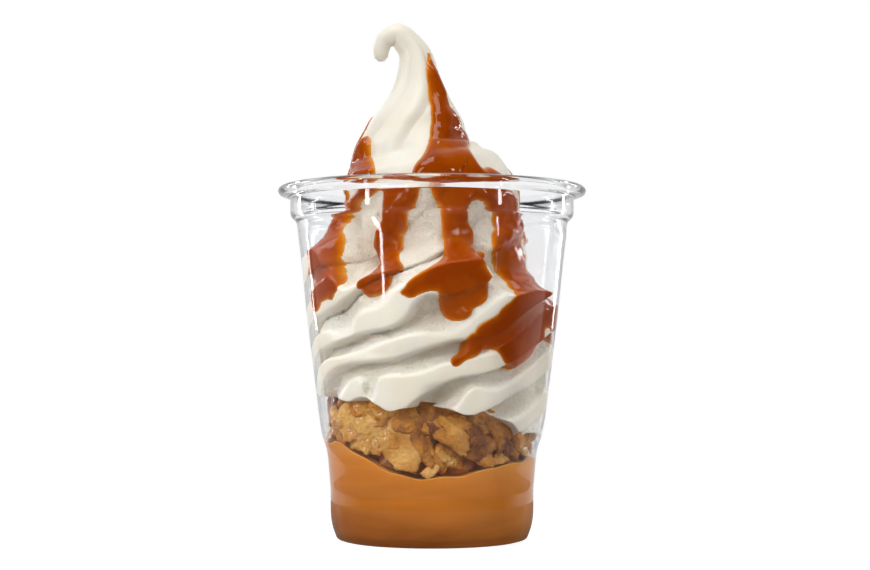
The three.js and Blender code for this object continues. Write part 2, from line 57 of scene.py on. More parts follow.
# ---------------------------------------------------------------------------------------------
# Studio. A round table of white paper under a white sky that is dark behind the camera, softboxes
# overhead and before the cup, upright strip lights that draw long glints down cup and caramel, and
# grey cards out of the camera's sight that give the clear plastic its edges.
TABLE_RADIUS = 0.16
TABLE_CORNERS = 96
TABLE_GAP = 0.0001
SKY_SEEN = 1.0
SKY_LIGHT = 0.25
SKY_MIRRORED_BEFORE = 0.02
SKY_MIRRORED_BEHIND = 0.72
SKY_TURNS_LIGHT = (-0.05, 0.45)
FLOOR_GLOW_SEEN = 0.93
FLOOR_GLOW = 0.42
SOFTBOXES = [
    # name, place, what it points at, width, height, power in watts
    ("overhead", (-0.10, -0.10, 0.62), (0, 0, 0.06), 0.34, 0.30, 1.25),
    ("before", (-0.30, -0.52, 0.46), (0, 0, 0.07), 0.26, 0.22, 0.98),
    ("left_strip", (-0.42, -0.34, 0.16), (0, 0, 0.07), 0.03, 0.34, 0.42),
    ("right_strip", (0.40, -0.30, 0.18), (0, 0, 0.07), 0.02, 0.34, 0.34),
    ("left_rear_strip", (-0.36, 0.30, 0.19), (0, 0, 0.06), 0.03, 0.34, 0.34),
    ("right_rear_strip", (0.36, 0.28, 0.19), (0, 0, 0.06), 0.03, 0.34, 0.34),
]
GREY_CARDS = [
    # name, middle, half width along X, half width along Y, height
    ("left_card", (-0.30, 0.16), 0.004, 0.05, 0.30),
    ("right_card", (0.30, 0.16), 0.004, 0.05, 0.30),
]

view = bpy.context.scene.view_settings
view.view_transform = "Standard"
view.look = "None"

sky = bpy.data.worlds.new("white_sky")
sky.use_nodes = True
bpy.context.scene.world = sky


def tune(node, *ordered, **named):
    """Fills a node's inputs, in order or by name, where _ stands for a space. Each takes a value or
    an output of another node."""
    for key, value in [*enumerate(ordered), *named.items()]:
        socket = node.inputs[key if isinstance(key, int) else key.replace("_", " ")]
        if isinstance(value, bpy.types.NodeSocket):
            node.id_data.links.new(value, socket)
        else:
            socket.default_value = value


def node_adder(tree):
    """A function that adds a node to the tree and returns the output it is asked for. Names all in
    small letters are the node's settings, and the others go to its inputs."""

    def add(kind, gives, *ordered, **named):
        node = tree.nodes.new("ShaderNode" + kind)
        for setting in filter(str.islower, list(named)):
            setattr(node, setting, named.pop(setting))
        tune(node, *ordered, **named)
        return node.outputs[gives]

    return add


def by_bounce(add, seen, mirrored, light):
    """A strength that is `seen` where the camera looks straight on it or through clear plastic,
    `mirrored` in a gloss, and `light` for what it sheds on matt surfaces."""
    glossy = add("LightPath", "Glossy Depth")
    in_gloss = add("MapRange", "Result", Value=glossy, To_Min=seen, To_Max=mirrored)
    matt = add("LightPath", "Diffuse Depth")
    return add("MapRange", "Result", Value=matt, To_Min=in_gloss, To_Max=light)


add = node_adder(sky.node_tree)
turns_from, turns_to = SKY_TURNS_LIGHT
sky_mirrored = add(
    "MapRange",
    "Result",
    Value=add("SeparateXYZ", "Y", Vector=add("TexCoord", "Generated")),
    From_Min=turns_from,
    From_Max=turns_to,
    To_Min=SKY_MIRRORED_BEFORE,
    To_Max=SKY_MIRRORED_BEHIND,
)
sky_strength = by_bounce(add, SKY_SEEN, sky_mirrored, SKY_LIGHT)
tune(sky.node_tree.nodes["Background"], Strength=sky_strength, Color=(1, 1, 1, 1))


def new_material(name):
    """A plain material, its shader, and the function that adds nodes to it."""
    made = bpy.data.materials.new(name)
    made.use_nodes = True
    return made, made.node_tree.nodes["Principled BSDF"], node_adder(made.node_tree)


table_round = np.linspace(0, 2 * math.pi, TABLE_CORNERS, endpoint=False)
table_edge = np.stack([np.cos(table_round), np.sin(table_round), 0 * table_round], -1) * TABLE_RADIUS
floor_mesh = bpy.data.meshes.new("floor")
floor_mesh.from_pydata((table_edge - (0, 0, TABLE_GAP)).tolist(), [], [tuple(range(TABLE_CORNERS))])
floor = bpy.data.objects.new("floor", floor_mesh)
bpy.context.scene.collection.objects.link(floor)

# The table's paper, grey underneath and glowing white, so that it is seen white but lights the cup
# no more than paper would.
paper, paper_shader, add = new_material("white_paper")
tune(paper_shader, Base_Color=(0.22, 0.22, 0.22, 1), Roughness=0.6, Specular_IOR_Level=0.2)
paper_glow = by_bounce(add, FLOOR_GLOW_SEEN, 0.0, FLOOR_GLOW)
tune(paper_shader, Emission_Color=(1, 1, 1, 1), Emission_Strength=paper_glow)
floor_mesh.materials.append(paper)

grey_card, card_shader, _ = new_material("grey_card")
tune(card_shader, Base_Color=(0.30, 0.30, 0.31, 1), Roughness=0.9)
for name, (x, y), half_x, half_y, height in GREY_CARDS:
    corners = [(x + i * half_x, y + j * half_y) for i, j in ((-1, -1), (1, -1), (1, 1), (-1, 1))]
    card_mesh = bpy.data.meshes.new(name)
    card_mesh.from_pydata(
        [(px, py, pz) for pz in (0, height) for px, py in corners],
        [],
        [(3, 2, 1, 0), (4, 5, 6, 7), (0, 1, 5, 4), (1, 2, 6, 5), (2, 3, 7, 6), (3, 0, 4, 7)],
    )
    card_mesh.materials.append(grey_card)
    card = bpy.data.objects.new(name, card_mesh)
    card.visible_camera = False
    card.visible_diffuse = False
    card.visible_shadow = False
    bpy.context.scene.collection.objects.link(card)

for name, place, target, width, height, power in SOFTBOXES:
    lamp = bpy.data.lights.new(name, "AREA")
    lamp.shape, lamp.size, lamp.size_y, lamp.energy = "RECTANGLE", width, height, power
    softbox = bpy.data.objects.new(name, lamp)
    way = np.subtract(target, place)
    softbox.location = place
    turn = math.atan2(-way[0], way[1]) if name != "overhead" else 0.0
    softbox.rotation_euler = (math.atan2(way[2], math.hypot(way[0], way[1])) + math.pi / 2, 0, turn)
    bpy.context.scene.collection.objects.link(softbox)

# ---------------------------------------------------------------------------------------------
# Cup. A thin drinking cup of clear plastic, drawn down over a mould in one sheet: plain round
# foot, shoulder, tapering body of eight near-flat panels, upright collar and rolled lip.
MM = 0.001
CUP_WALL = 0.7
PANEL_HALF = 22.5
PANEL_EDGE_AT = -62.5
PANEL_BULGE = 1.0
PANEL_EDGE_SOFT = 2.2
# Profiles as (height, radius), from the foot's middle outwards, up the outside, over the lip, and
# from the wall's foot back to the middle; then the panels' share in the outline by height.
CUP_UNDERSIDE = [(1.2, 2), (1.2, 21.8), (1.0, 22.6), (0.25, 23.4), (0, 24), (0, 26.2)]
CUP_OUTSIDE = [
    (0, 26.4), (0.5, 28.1), (1.8, 28.9), (17.2, 30.5), (27, 31.5), (31.6, 32.9), (36, 33.6),
    (44, 34.6), (66, 37.3), (90, 39.9), (94.8, 40.6), (96.6, 42.1), (97.6, 42.35), (101.6, 42.35),
]
LIP_AND_RIM = [
    (101.8, 42.4), (102.3, 43.6), (103.2, 45.6), (104.2, 46), (105.2, 45.3), (105.6, 43.9),
    (105, 42.5), (103, 41.65),
]
CUP_FLOOR = [(2.4, 28.25), (1.1, 27.2), (0.8, 23.9), (1.2, 22.6), (1.9, 21.6), (1.9, 2)]
PANEL_SHARE = [(27, 0), (31.6, 0.1), (36, 0.8), (44, 1), (90, 1), (94.8, 0.1), (96.6, 0)]
CUP_COLUMNS = 288


def steady_curve(knots, x):
    """Value at x on a smooth curve through the (x, value) knots that never overshoots them: a cubic
    in each span, whose slope at a knot is the harmonic mean of the slopes on both sides of it, or
    0 at a turn."""
    at, value = np.array(knots, float).T
    span = np.diff(at)
    slope = np.diff(value) / span
    same_way = slope[:-1] * slope[1:] > 0
    before, after = np.where(same_way, slope[:-1], 1), np.where(same_way, slope[1:], 1)
    inner = (span[:-1] + span[1:]) / (span[:-1] / after + span[1:] / before)
    tangent = np.concatenate([slope[:1], np.where(same_way, inner, 0), slope[-1:]])
    x = np.clip(x, at[0], at[-1])
    i = np.clip(np.searchsorted(at, x, side="right") - 1, 0, len(at) - 2)
    t = (x - at[i]) / span[i]
    rise = t * t * (3 - 2 * t)
    bend = span[i] * t * (1 - t) * ((1 - t) * tangent[i] - t * tangent[i + 1])
    return value[i] + (value[i + 1] - value[i]) * rise + bend


def wall_outside(angle, height):
    """Radius of the cup's outside: the radius by height, plus the bulge at the panels' edges. The
    bulge follows the flat chord of a panel, cos 22.5 / cos of the angle off its middle, rounded at
    the edge."""
    off = np.abs((angle - PANEL_EDGE_AT + PANEL_HALF) % (2 * PANEL_HALF) - PANEL_HALF)
    off = np.hypot(off, PANEL_EDGE_SOFT)
    middle = math.cos(math.radians(PANEL_HALF))
    edge = (middle / np.cos(np.radians(PANEL_HALF - off)) - middle) / (1 - middle)
    return steady_curve(CUP_OUTSIDE, height) + PANEL_BULGE * steady_curve(PANEL_SHARE, height) * edge


def wall_inside(angle, height):
    """Radius of the cup's inside: its outside less the wall."""
    return wall_outside(angle, height) - CUP_WALL


def round_point(radius, angle, height):
    """Point (r sin a, -r cos a, z), so that angle 0 is the front and +90 degrees is +X."""
    radius, angle, height = np.broadcast_arrays(radius, np.radians(angle), height)
    return np.stack([radius * np.sin(angle), -radius * np.cos(angle), height], -1)


def closed_skins(name, stacks, **marks):
    """One mesh of closed skins, each over a stack of rings: stacks is an array of (skin, row,
    column, xyz) in millimetres. Each four neighbours make a face all the way round, and the middle
    of the first and of the last ring closes a skin with a fan. marks are point attributes of one
    number each, by skin, row and column."""
    skins, rows, columns = stacks.shape[:3]
    each = rows * columns + 2
    ends = [stacks[:, :1].mean(2), stacks[:, -1:].mean(2)]
    points = np.concatenate([stacks.reshape(skins, -1, 3), *ends], 1).reshape(-1, 3) * MM
    row, column = np.meshgrid(np.arange(rows - 1), np.arange(columns), indexing="ij")
    after = (column + 1) % columns
    low, high = row * columns, (row + 1) * columns
    quads = np.stack([low + column, low + after, high + after, high + column], -1).reshape(-1, 4)
    onward = (np.arange(columns) + 1) % columns
    last = (rows - 1) * columns
    bottom = np.stack([np.full(columns, each - 2), onward, np.arange(columns)], -1)
    top = np.stack([np.full(columns, each - 1), last + np.arange(columns), last + onward], -1)
    start = np.arange(skins)[:, None, None] * each
    quads = (quads + start).reshape(-1, 4)
    fans = (np.concatenate([bottom, top]) + start).reshape(-1, 3)
    mesh = bpy.data.meshes.new(name)
    mesh.from_pydata(points.tolist(), [], quads.tolist() + fans.tolist())
    mesh.shade_smooth()
    for mark, values in marks.items():
        ends = [values[:, :1].mean(2), values[:, -1:].mean(2)]
        flat = np.concatenate([values.reshape(skins, -1), *ends], 1).ravel().astype(np.float32)
        mesh.attributes.new(mark, "FLOAT", "POINT").data.foreach_set("value", flat)
    piece = bpy.data.objects.new(name, mesh)
    bpy.context.scene.collection.objects.link(piece)
    return piece


def lathe_knots(knots, count):
    """Heights and radii of `count` evenly spaced points along a smooth curve through (height,
    radius) knots."""
    knots = np.array(knots, float)
    long = np.concatenate([[0], np.cumsum(np.hypot(*np.diff(knots, axis=0).T))])
    at = np.linspace(0, long[-1], count)
    height = steady_curve(list(zip(long, knots[:, 0])), at)
    return height[:, None], steady_curve(list(zip(long, knots[:, 1])), at)[:, None]


def cup_rings():
    """Rings up the outside from under the foot, over the lip, and down the inside to the floor of
    the cup."""
    angle = np.linspace(-180, 180, CUP_COLUMNS, endpoint=False)[None, :]
    foot, body = np.linspace(0.02, 2.4, 12), np.linspace(3.5, 93.5, 76)
    up = np.concatenate([foot, body, np.linspace(94, 101.6, 26)])[:, None]
    down = np.concatenate([np.linspace(101.2, 94, 22), np.linspace(93, 3.2, 76)])[:, None]
    under, under_radius = lathe_knots(CUP_UNDERSIDE, 14)
    lip, lip_radius = lathe_knots(LIP_AND_RIM, 30)
    floor_inside, floor_radius = lathe_knots(CUP_FLOOR, 14)
    return np.concatenate([
        round_point(under_radius, angle, under),
        round_point(wall_outside(angle, up), angle, up),
        round_point(lip_radius, angle, lip),
        round_point(wall_inside(angle, down), angle, down),
        round_point(floor_radius, angle, floor_inside),
    ])


cup = closed_skins("clear_cup", cup_rings()[None])

# Clear plastic: smooth and colourless, with the faint upright drag lines of the mould. Light from
# the lamps passes straight through it to the food.
clear_plastic, plastic, add = new_material("clear_plastic")
tune(plastic, Base_Color=(0.985, 0.99, 1, 1), Transmission_Weight=1, IOR=1.5)
stretch = add("Mapping", "Vector", Vector=add("TexCoord", "Object"), Scale=(900, 900, 26))
drag_lines = add("TexNoise", "Fac", Vector=stretch, Scale=1.0, Detail=2.0)
gloss = add("MapRange", "Result", Value=drag_lines, To_Min=0.015, To_Max=0.06)
drag_bump = add("Bump", "Normal", Height=drag_lines, Strength=0.05, Distance=0.0002)
tune(plastic, Roughness=gloss, Normal=drag_bump)
lamp_ray = add("LightPath", "Is Shadow Ray")
lets_lamps_in = add("BsdfTransparent", "BSDF", Color=(0.99, 0.995, 1, 1))
by_ray = add("MixShader", "Shader", lamp_ray, plastic.outputs["BSDF"], lets_lamps_in)
tune(clear_plastic.node_tree.nodes["Material Output"], Surface=by_ray)
cup.data.materials.append(clear_plastic)
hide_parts("cup")
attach(cup, "root")

# ---------------------------------------------------------------------------------------------
# Caramel sauce. A pool poured into the foot of the cup before the rest: thick, cloudy and set
# against the wall, so that no air lies between them.
INTO_WALL = 0.22
SAUCE_LEVEL = 24.6
SAUCE_UNDERSIDE = [(1.7, 2), (1.7, 21.5), (1.0, 22.7), (0.55, 23.9), (0.9, 27.3), (2.2, 28.35)]
SAUCE_SIDE_FROM = 2.6
# Where the sauce's edge sags or is pressed up: angle, half-width in degrees, amount.
RIM_SAGS = [(-6, 26, -1.6), (36, 14, 1.7), (-58, 12, 2.2)]
MENISCUS = 0.9
MENISCUS_WIDE = 1.2
SAUCE_RADIUS = 31
SAUCE_COLUMNS = 240


def sauce_top(angle, share):
    """Height of the sauce: a level plus waves in the angle that fade towards the middle."""
    a = np.radians(angle)
    wave = -1.75 * np.cos(a) - 2.47 * np.sin(a) - 2.4 * np.cos(2 * a) + 1.2
    return SAUCE_LEVEL + wave * share


def sagged(angle, sags):
    """Sum over the sags of amount times exp(-(angle off / half-width)^2)."""
    return sum(amount * np.exp(-(((angle - at) / wide) ** 2)) for at, wide, amount in sags)


def sauce_rim(angle):
    """Height of the sauce at the wall: its level, lower at the front, pressed up beside the flakes
    that sank in, and finely uneven."""
    uneven = 0.45 * np.sin(np.radians(7 * angle + 30)) + 0.25 * np.sin(np.radians(17 * angle))
    return sauce_top(angle, 1) + sagged(angle, RIM_SAGS) + uneven


def sauce_rings():
    """Rings from the floor's middle out to the foot, up just inside the wall, and back over the
    sauce's surface, which climbs a little where it wets the wall."""
    angle = np.linspace(-180, 180, SAUCE_COLUMNS, endpoint=False)[None, :]
    under, under_radius = lathe_knots(SAUCE_UNDERSIDE, 18)
    up = np.linspace(0, 1, 46)[:, None]
    rim = sauce_rim(angle)
    height = SAUCE_SIDE_FROM + (rim - SAUCE_SIDE_FROM) * up
    side = round_point(wall_inside(angle, height) + INTO_WALL, angle, height)
    share = np.linspace(1, 0.02, 26)[:, None]
    wetted = MENISCUS * np.exp(-(1 - share) * SAUCE_RADIUS / MENISCUS_WIDE) - MENISCUS
    edge = (rim - sauce_top(angle, 1)) * share
    surface = sauce_top(angle, share) + edge + wetted * (share < 1)
    over = round_point((wall_inside(angle, rim) + INTO_WALL) * share, angle, surface)
    return np.concatenate([round_point(under_radius, angle, under), side, over[1:]])


def colour_scale(add, tone, *stops):
    """The colour for a tone from 0 to 1, through stops of a place and a red, green and blue."""
    colour = add("ValToRGB", "Color", tone)
    ends = colour.node.color_ramp.elements
    ends[0].position, ends[0].color = stops[0][0], (*stops[0][1], 1)
    ends[1].position, ends[1].color = stops[-1][0], (*stops[-1][1], 1)
    for at, between in stops[1:-1]:
        ends.new(at).color = (*between, 1)
    return colour


sauce = closed_skins("caramel_sauce_pool", sauce_rings()[None])

# Cloudy caramel: browner and darker towards the bottom, paler towards the top and to the right,
# drawn out in long level swirls where it was poured.
cloudy_caramel, cloudy, add = new_material("cloudy_caramel")
place = add("TexCoord", "Object")
level_swirl = add("Mapping", "Vector", place, Scale=(22, 22, 110), Rotation=(0.16, 0.22, 0))
swirl_noise = add(
    "TexNoise", "Fac", Vector=level_swirl, Scale=1.0, Detail=4.0, Roughness=0.5, Distortion=1.2
)
up_high = add("SeparateXYZ", "Z", place)
rise_up = add("MapRange", "Result", up_high, From_Min=0.001, From_Max=0.030, To_Min=0.0, To_Max=0.62)
off_right = add("SeparateXYZ", "X", place)
to_right = add(
    "MapRange", "Result", off_right, From_Min=-0.02, From_Max=0.03, To_Min=-0.06, To_Max=0.12
)
swirls = add(
    "MapRange", "Result", swirl_noise, From_Min=0.3, From_Max=0.7, To_Min=-0.09, To_Max=0.10
)
risen = add("Math", "Value", rise_up, to_right, operation="ADD")
sauce_tone = add("Math", "Value", risen, swirls, operation="ADD")
sauce_colour = colour_scale(
    add,
    sauce_tone,
    (0.0, (0.38, 0.115, 0.013)),
    (0.4, (0.66, 0.245, 0.034)),
    (0.85, (0.86, 0.44, 0.13)),
)
sauce_gloss = add("MapRange", "Result", swirl_noise, To_Min=0.22, To_Max=0.4)
tune(cloudy, Base_Color=sauce_colour, Roughness=sauce_gloss, Specular_IOR_Level=0.02)
tune(cloudy, Subsurface_Weight=0.35, Subsurface_Radius=(1.0, 0.45, 0.15), Subsurface_Scale=0.004)
sauce.data.materials.append(cloudy_caramel)
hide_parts("caramel_sauce")
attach(sauce, "root")

# ---------------------------------------------------------------------------------------------
# Broken biscuit. Thin baked flakes, crushed by hand and tipped onto the sauce: ragged, dished
# slabs two to three millimetres thick, glazed here and there by the caramel that reached them.
BISCUIT_LEVEL = 38.0
FLAKE_THICK = 2.4
FLAKE_DISH = 0.012
FLAKE_GAP = 0.2
SHOWN_FLAKES = [
    # angle, height, how far behind the wall, width, tall, turned to one side, leaned back, spin,
    # how browned
    (-20, 31.2, 0.0, 14, 19, -6, 4, 26, 0.15),
    (-37, 32.8, 0.6, 10, 14, 12, -8, 12, 0.05),
    (-47, 30.5, 1.2, 7, 6, 0, 0, 40, 0.0),
    (-40, 40.0, 0.8, 9, 6, 20, 20, 30, 0.45),
    (-33, 37.5, 2.2, 9, 7, -20, 10, -20, 0.55),
    (-12, 36.6, 2.6, 12, 9, 20, 10, -30, 0.75),
    (3.5, 34.8, 0.0, 22, 8, 0, 24, -37, 0.40),
    (11, 34.6, 1.4, 17, 12, 8, 30, -30, 1.0),
    (-4, 29.8, 0.8, 8, 15, 52, 0, 30, 0.80),
    (2.5, 27.6, 1.2, 7, 12, 56, 0, 24, 0.70),
    (8, 27.3, 0.8, 6, 8, 35, 0, 15, 0.40),
    (14, 26.2, 1.2, 7, 7, 50, 0, -10, 0.70),
    (28, 30.6, 0.3, 12, 11, -8, 12, -12, 0.85),
    (27, 27.4, 0.0, 13, 5, 0, 30, -30, 0.20),
    (40, 32.0, 0.2, 7, 14, 58, 0, 22, 0.70),
    (46, 30.0, 0.8, 7, 12, 60, 0, 26, 0.80),
    (54, 29.3, 0.6, 7, 11, 50, 0, 30, 0.70),
    (-0.5, 22.4, 0.0, 6, 3.4, 10, 0, 35, 0.0),
    (40, 25.2, 0.3, 9, 3.4, 0, 10, 12, 0.1),
    (20, 37.0, 3.2, 12, 8, 0, 20, 10, 0.60),
    (33, 36.6, 2.6, 10, 8, 20, 20, -30, 0.50),
    (-27, 40.0, 2.0, 9, 6, 10, 10, 15, 0.40),
    (48, 35.0, 2.6, 9, 8, 0, 10, -30, 0.60),
    (-51, 36.6, 0.6, 12, 12, 20, 5, 15, 0.0),
    (-64, 34.0, 0.8, 12, 13, -20, 6, 60, 0.35),
    (-78, 36.0, 0.8, 12, 12, 15, 8, 45, 0.50),
    (64, 31.0, 0.8, 11, 11, 20, 4, -60, 0.60),
    (78, 33.5, 0.8, 12, 10, -15, 8, 20, 0.40),
]
BACK_FLAKES = 16
BACK_FROM = 88
BACK_OVER = 190
FLAKE_SEED = 5
# Waves round a flake's outline: count, height. Grain on a flake: height, size, own seed, waves.
OUTLINE_WAVES = [(2, 0.09), (3, 0.08), (5, 0.04), (9, 0.035), (17, 0.02), (29, 0.012)]
FLAKE_GRAIN = [(0.24, 3.0, 50, 14), (0.12, 1.1, 90, 20), (0.10, 0.6, 130, 20)]
FLAKE_COLUMNS = 96
FLAKE_ROWS = 26


def biscuit_top(angle, share):
    """Height of the biscuit layer: a level plus waves in the angle that fade towards the middle."""
    a = np.radians(angle)
    return BISCUIT_LEVEL + (2.2 * np.cos(a) - 5.6 * np.sin(a) + 1.1 * np.sin(3 * a + 0.6)) * share


def grain(points, size, seed, waves=14):
    """Smooth random bumps about `size` millimetres across, between -1 and 1 at any point in space:
    the mean of plane waves that run in random directions."""
    random = np.random.default_rng(seed)
    way = random.normal(size=(3, waves))
    way *= random.uniform(0.7, 1.4, waves) * math.pi / size / np.linalg.norm(way, axis=0)
    swell = np.sin(points @ way + random.uniform(0, 2 * math.pi, waves)).mean(-1)
    return swell * math.sqrt(waves) * 0.8


def turned(axis, degrees):
    """The 3 by 3 matrix that turns points about X (0), Y (1) or Z (2)."""
    c, s = math.cos(math.radians(degrees)), math.sin(math.radians(degrees))
    matrix = np.eye(3)
    i, j = [(1, 2), (2, 0), (0, 1)][axis]
    matrix[i, i], matrix[i, j], matrix[j, i], matrix[j, j] = c, -s, s, c
    return matrix


def flake_rings(seed, angle, height, back, width, tall, turn, lean, spin):
    """Rings of one flake from the middle of its back, q = -1, to the middle of its face, q = 1. A
    flake is a flat slab: its ragged outline is scaled by p = 1 - |q|^2.2, and half its thickness by
    (1 - p^9)^0.42; it is dished by x^2 + 0.4 y^2, waved and pitted by grain. It is turned, spun,
    leaned back and set off from the wall until all of it lies `back` behind it."""
    around = np.linspace(0, 2 * math.pi, FLAKE_COLUMNS, endpoint=False)[None, :]
    over = np.linspace(-1, 1, FLAKE_ROWS)[:, None]
    out = np.clip(1 - np.abs(over) ** 2.2, 0.02, 1)
    up = np.sign(over) * (1 - out ** 9) ** 0.42
    swing = np.random.default_rng(seed).uniform(0, 2 * math.pi, len(OUTLINE_WAVES))
    square = 1 / (np.abs(np.cos(around)) ** 2.6 + np.abs(np.sin(around)) ** 2.6) ** (1 / 2.6)
    waves = (high * np.sin(n * around + start) for (n, high), start in zip(OUTLINE_WAVES, swing))
    ragged = 0.92 * square * sum(waves, 1)
    x = 0.5 * width * ragged * out * np.cos(around)
    y = 0.5 * tall * ragged * out * np.sin(around)
    wavy = 0.5 * np.sin(x * 0.45 + swing[5]) + 0.4 * np.sin(y * 0.6 + swing[4])
    z = 0.5 * FLAKE_THICK * up - FLAKE_DISH * (x * x + 0.4 * y * y) + wavy
    flat = np.stack(np.broadcast_arrays(x, y, z), -1)
    rough = sum(high * grain(flat, size, seed + own, count) for high, size, own, count in FLAKE_GRAIN)
    outwards = np.broadcast_arrays(0.6 * np.cos(around), 0.6 * np.sin(around), np.sign(over))
    flat = flat + rough[..., None] * np.stack(outwards, -1)
    place = turned(2, angle) @ turned(0, 90 - lean) @ turned(2, spin) @ turned(1, turn)
    stood = flat @ place.T + round_point(wall_inside(angle, height), angle, height)
    bearing = np.degrees(np.arctan2(stood[..., 0], -stood[..., 1]))
    beyond = np.hypot(stood[..., 0], stood[..., 1]) - wall_inside(bearing, stood[..., 2])
    stood -= round_point(np.percentile(beyond, 98) + FLAKE_GAP + back, angle, 0)
    reach = np.hypot(stood[..., 0], stood[..., 1])
    limit = wall_inside(bearing, stood[..., 2]) - FLAKE_GAP
    stood[..., :2] *= np.minimum(1, limit / np.maximum(reach, 1e-6))[..., None]
    return stood


def biscuit_stacks():
    """The rings of all flakes, and how browned each is: the ones in sight, and a ring of others
    round the sides and the back, at one third and two thirds of the layer's height by turns."""
    flakes = list(SHOWN_FLAKES)
    for k in range(BACK_FLAKES):
        bearing = (BACK_FROM + k * BACK_OVER / (BACK_FLAKES - 1) + 180) % 360 - 180
        low, high = float(sauce_top(bearing, 1)), float(biscuit_top(bearing, 1))
        height = low + (high - low) * (0.66 if k % 2 else 0.34)
        size = 13 + 4 * math.sin(k * 2.1)
        stance = (34 * math.sin(k * 1.7), 14 * math.cos(k * 2.9), 47 * k, k * 0.37 % 0.8)
        flakes.append((bearing, height, 0.8, size, 0.8 * size, *stance))
    stacks = np.stack([flake_rings(k + FLAKE_SEED, *flake[:-1]) for k, flake in enumerate(flakes)])
    browned = np.array([flake[-1] for flake in flakes])
    return stacks, browned[:, None, None] + np.zeros(stacks.shape[:3])


biscuit_points, biscuit_browned = biscuit_stacks()
biscuit = closed_skins("biscuit_flakes", biscuit_points, browned=biscuit_browned)

# Baked biscuit: golden, darker and redder where it browned or soaked up caramel, pitted all over
# with small pores, and shining where the caramel glazed it.
baked_biscuit, baked, add = new_material("baked_biscuit")
place = add("TexCoord", "Object")
browning = add("TexNoise", "Fac", Vector=place, Scale=130.0, Detail=5.0, Roughness=0.6)
crumb = add("TexNoise", "Fac", Vector=place, Scale=900.0, Detail=4.0, Roughness=0.65)
pores = add("TexVoronoi", "Distance", Vector=place, Scale=620.0)
glaze = add("TexNoise", "Fac", Vector=place, Scale=75.0, Detail=1.0)
flake_mark = add("Attribute", "Fac", attribute_name="browned")
paler = add("MapRange", "Result", flake_mark, To_Min=0.14, To_Max=-0.34)
shifted = add("Math", "Value", paler, browning, operation="ADD")
mottle = add("Math", "Value", crumb, 0.22, shifted, operation="MULTIPLY_ADD")
biscuit_colour = colour_scale(
    add,
    mottle,
    (0.24, (0.24, 0.058, 0.002)),
    (0.52, (0.72, 0.27, 0.016)),
    (0.90, (1.0, 0.58, 0.15)),
)
pit = add("MapRange", "Result", pores, From_Min=0.0, From_Max=0.45, To_Min=0.0, To_Max=1.0)
pit_bump = add("Bump", "Normal", Height=pit, Strength=0.8, Distance=0.0007)
crumb_bump = add("Bump", "Normal", Height=crumb, Normal=pit_bump, Strength=1.0, Distance=0.0013)
shine = add("MapRange", "Result", glaze, From_Min=0.40, From_Max=0.58, To_Min=0.1, To_Max=0.9)
biscuit_dull = add("MapRange", "Result", crumb, To_Min=0.45, To_Max=0.75)
tune(baked, Base_Color=biscuit_colour, Normal=crumb_bump, Roughness=biscuit_dull)
tune(baked, Coat_Weight=shine, Coat_Roughness=0.12)
tune(baked, Subsurface_Weight=0.1, Subsurface_Radius=(1.0, 0.5, 0.2), Subsurface_Scale=0.0015)
biscuit.data.materials.append(baked_biscuit)
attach(biscuit, "root")

# ---------------------------------------------------------------------------------------------
# Soaked crumbs. The dark, broken mass of biscuit soaked in caramel that fills the middle of the
# layer behind the flakes and shows only through the gaps between them.
CRUMB_INSET = 5.2
CRUMBS_BELOW = 1.5
CRUMBS_ABOVE = 1.0
CRUMB_ROUGH = 0.035
CRUMB_COLUMNS = 180


def crumb_rings():
    """Rings round the heap's middle: the wall less an inset, roughened by grain, from a little
    under the sauce's surface to the ice cream."""
    angle = np.linspace(-180, 180, CRUMB_COLUMNS, endpoint=False)[None, :]
    up = np.linspace(0, 1, 26)[:, None]
    low, high = sauce_top(angle, 1) - CRUMBS_BELOW, biscuit_top(angle, 1) + CRUMBS_ABOVE
    height = low + (high - low) * up
    side = round_point(wall_inside(angle, height) - CRUMB_INSET, angle, height)
    side[..., :2] *= 1 + CRUMB_ROUGH * (grain(side, 4.5, 7) + 0.6 * grain(side, 2.2, 8))[..., None]
    share = np.linspace(0.96, 0.04, 14)[:, None]
    inner, outer = share, share[::-1]
    floor_level = low * outer + SAUCE_LEVEL * (1 - outer)
    under = round_point((wall_inside(angle, low) - CRUMB_INSET) * outer, angle, floor_level)
    roof_level = high * inner + BISCUIT_LEVEL * (1 - inner)
    over = round_point((wall_inside(angle, high) - CRUMB_INSET) * inner, angle, roof_level)
    return np.concatenate([under, side, over])


crumbs = closed_skins("soaked_crumbs", crumb_rings()[None])
soaked_biscuit, soaked, add = new_material("soaked_biscuit")
soak = add(
    "TexNoise", "Fac", Vector=add("TexCoord", "Object"), Scale=260.0, Detail=5.0, Roughness=0.6
)
soak_colour = colour_scale(add, soak, (0.35, (0.16, 0.045, 0.006)), (0.70, (0.55, 0.22, 0.045)))
soak_bump = add("Bump", "Normal", Height=soak, Strength=0.8, Distance=0.001)
tune(soaked, Base_Color=soak_colour, Normal=soak_bump, Roughness=0.25)
crumbs.data.materials.append(soaked_biscuit)
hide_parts("biscuit_pieces")
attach(crumbs, "root")

# ---------------------------------------------------------------------------------------------
# Ice cream. One rope of soft ice cream from a star nozzle, wound up and to the left and drawn off
# into a curl. Inside the cup its ribs lean over and are pressed flat against the wall; between
# them it stays rough and set back.
PITCH = 43.2
ICE_INTO_WALL = 0.12
PRESSED_BELOW = 101
UNDERCUT = 1.9
UNDERCUT_AT = 5.5
UNDERCUT_TALL = 4.5
UNDERCUT_ENDS = (97, 104)
COIL_BLEND = 4
PRESSED_OVER = 1.6
PEAK_BEGINS = (112, 116)
LEANS_BETWEEN = (96, 142)
TIP_LEVEL = 163.45
ICE_COLUMNS = 396
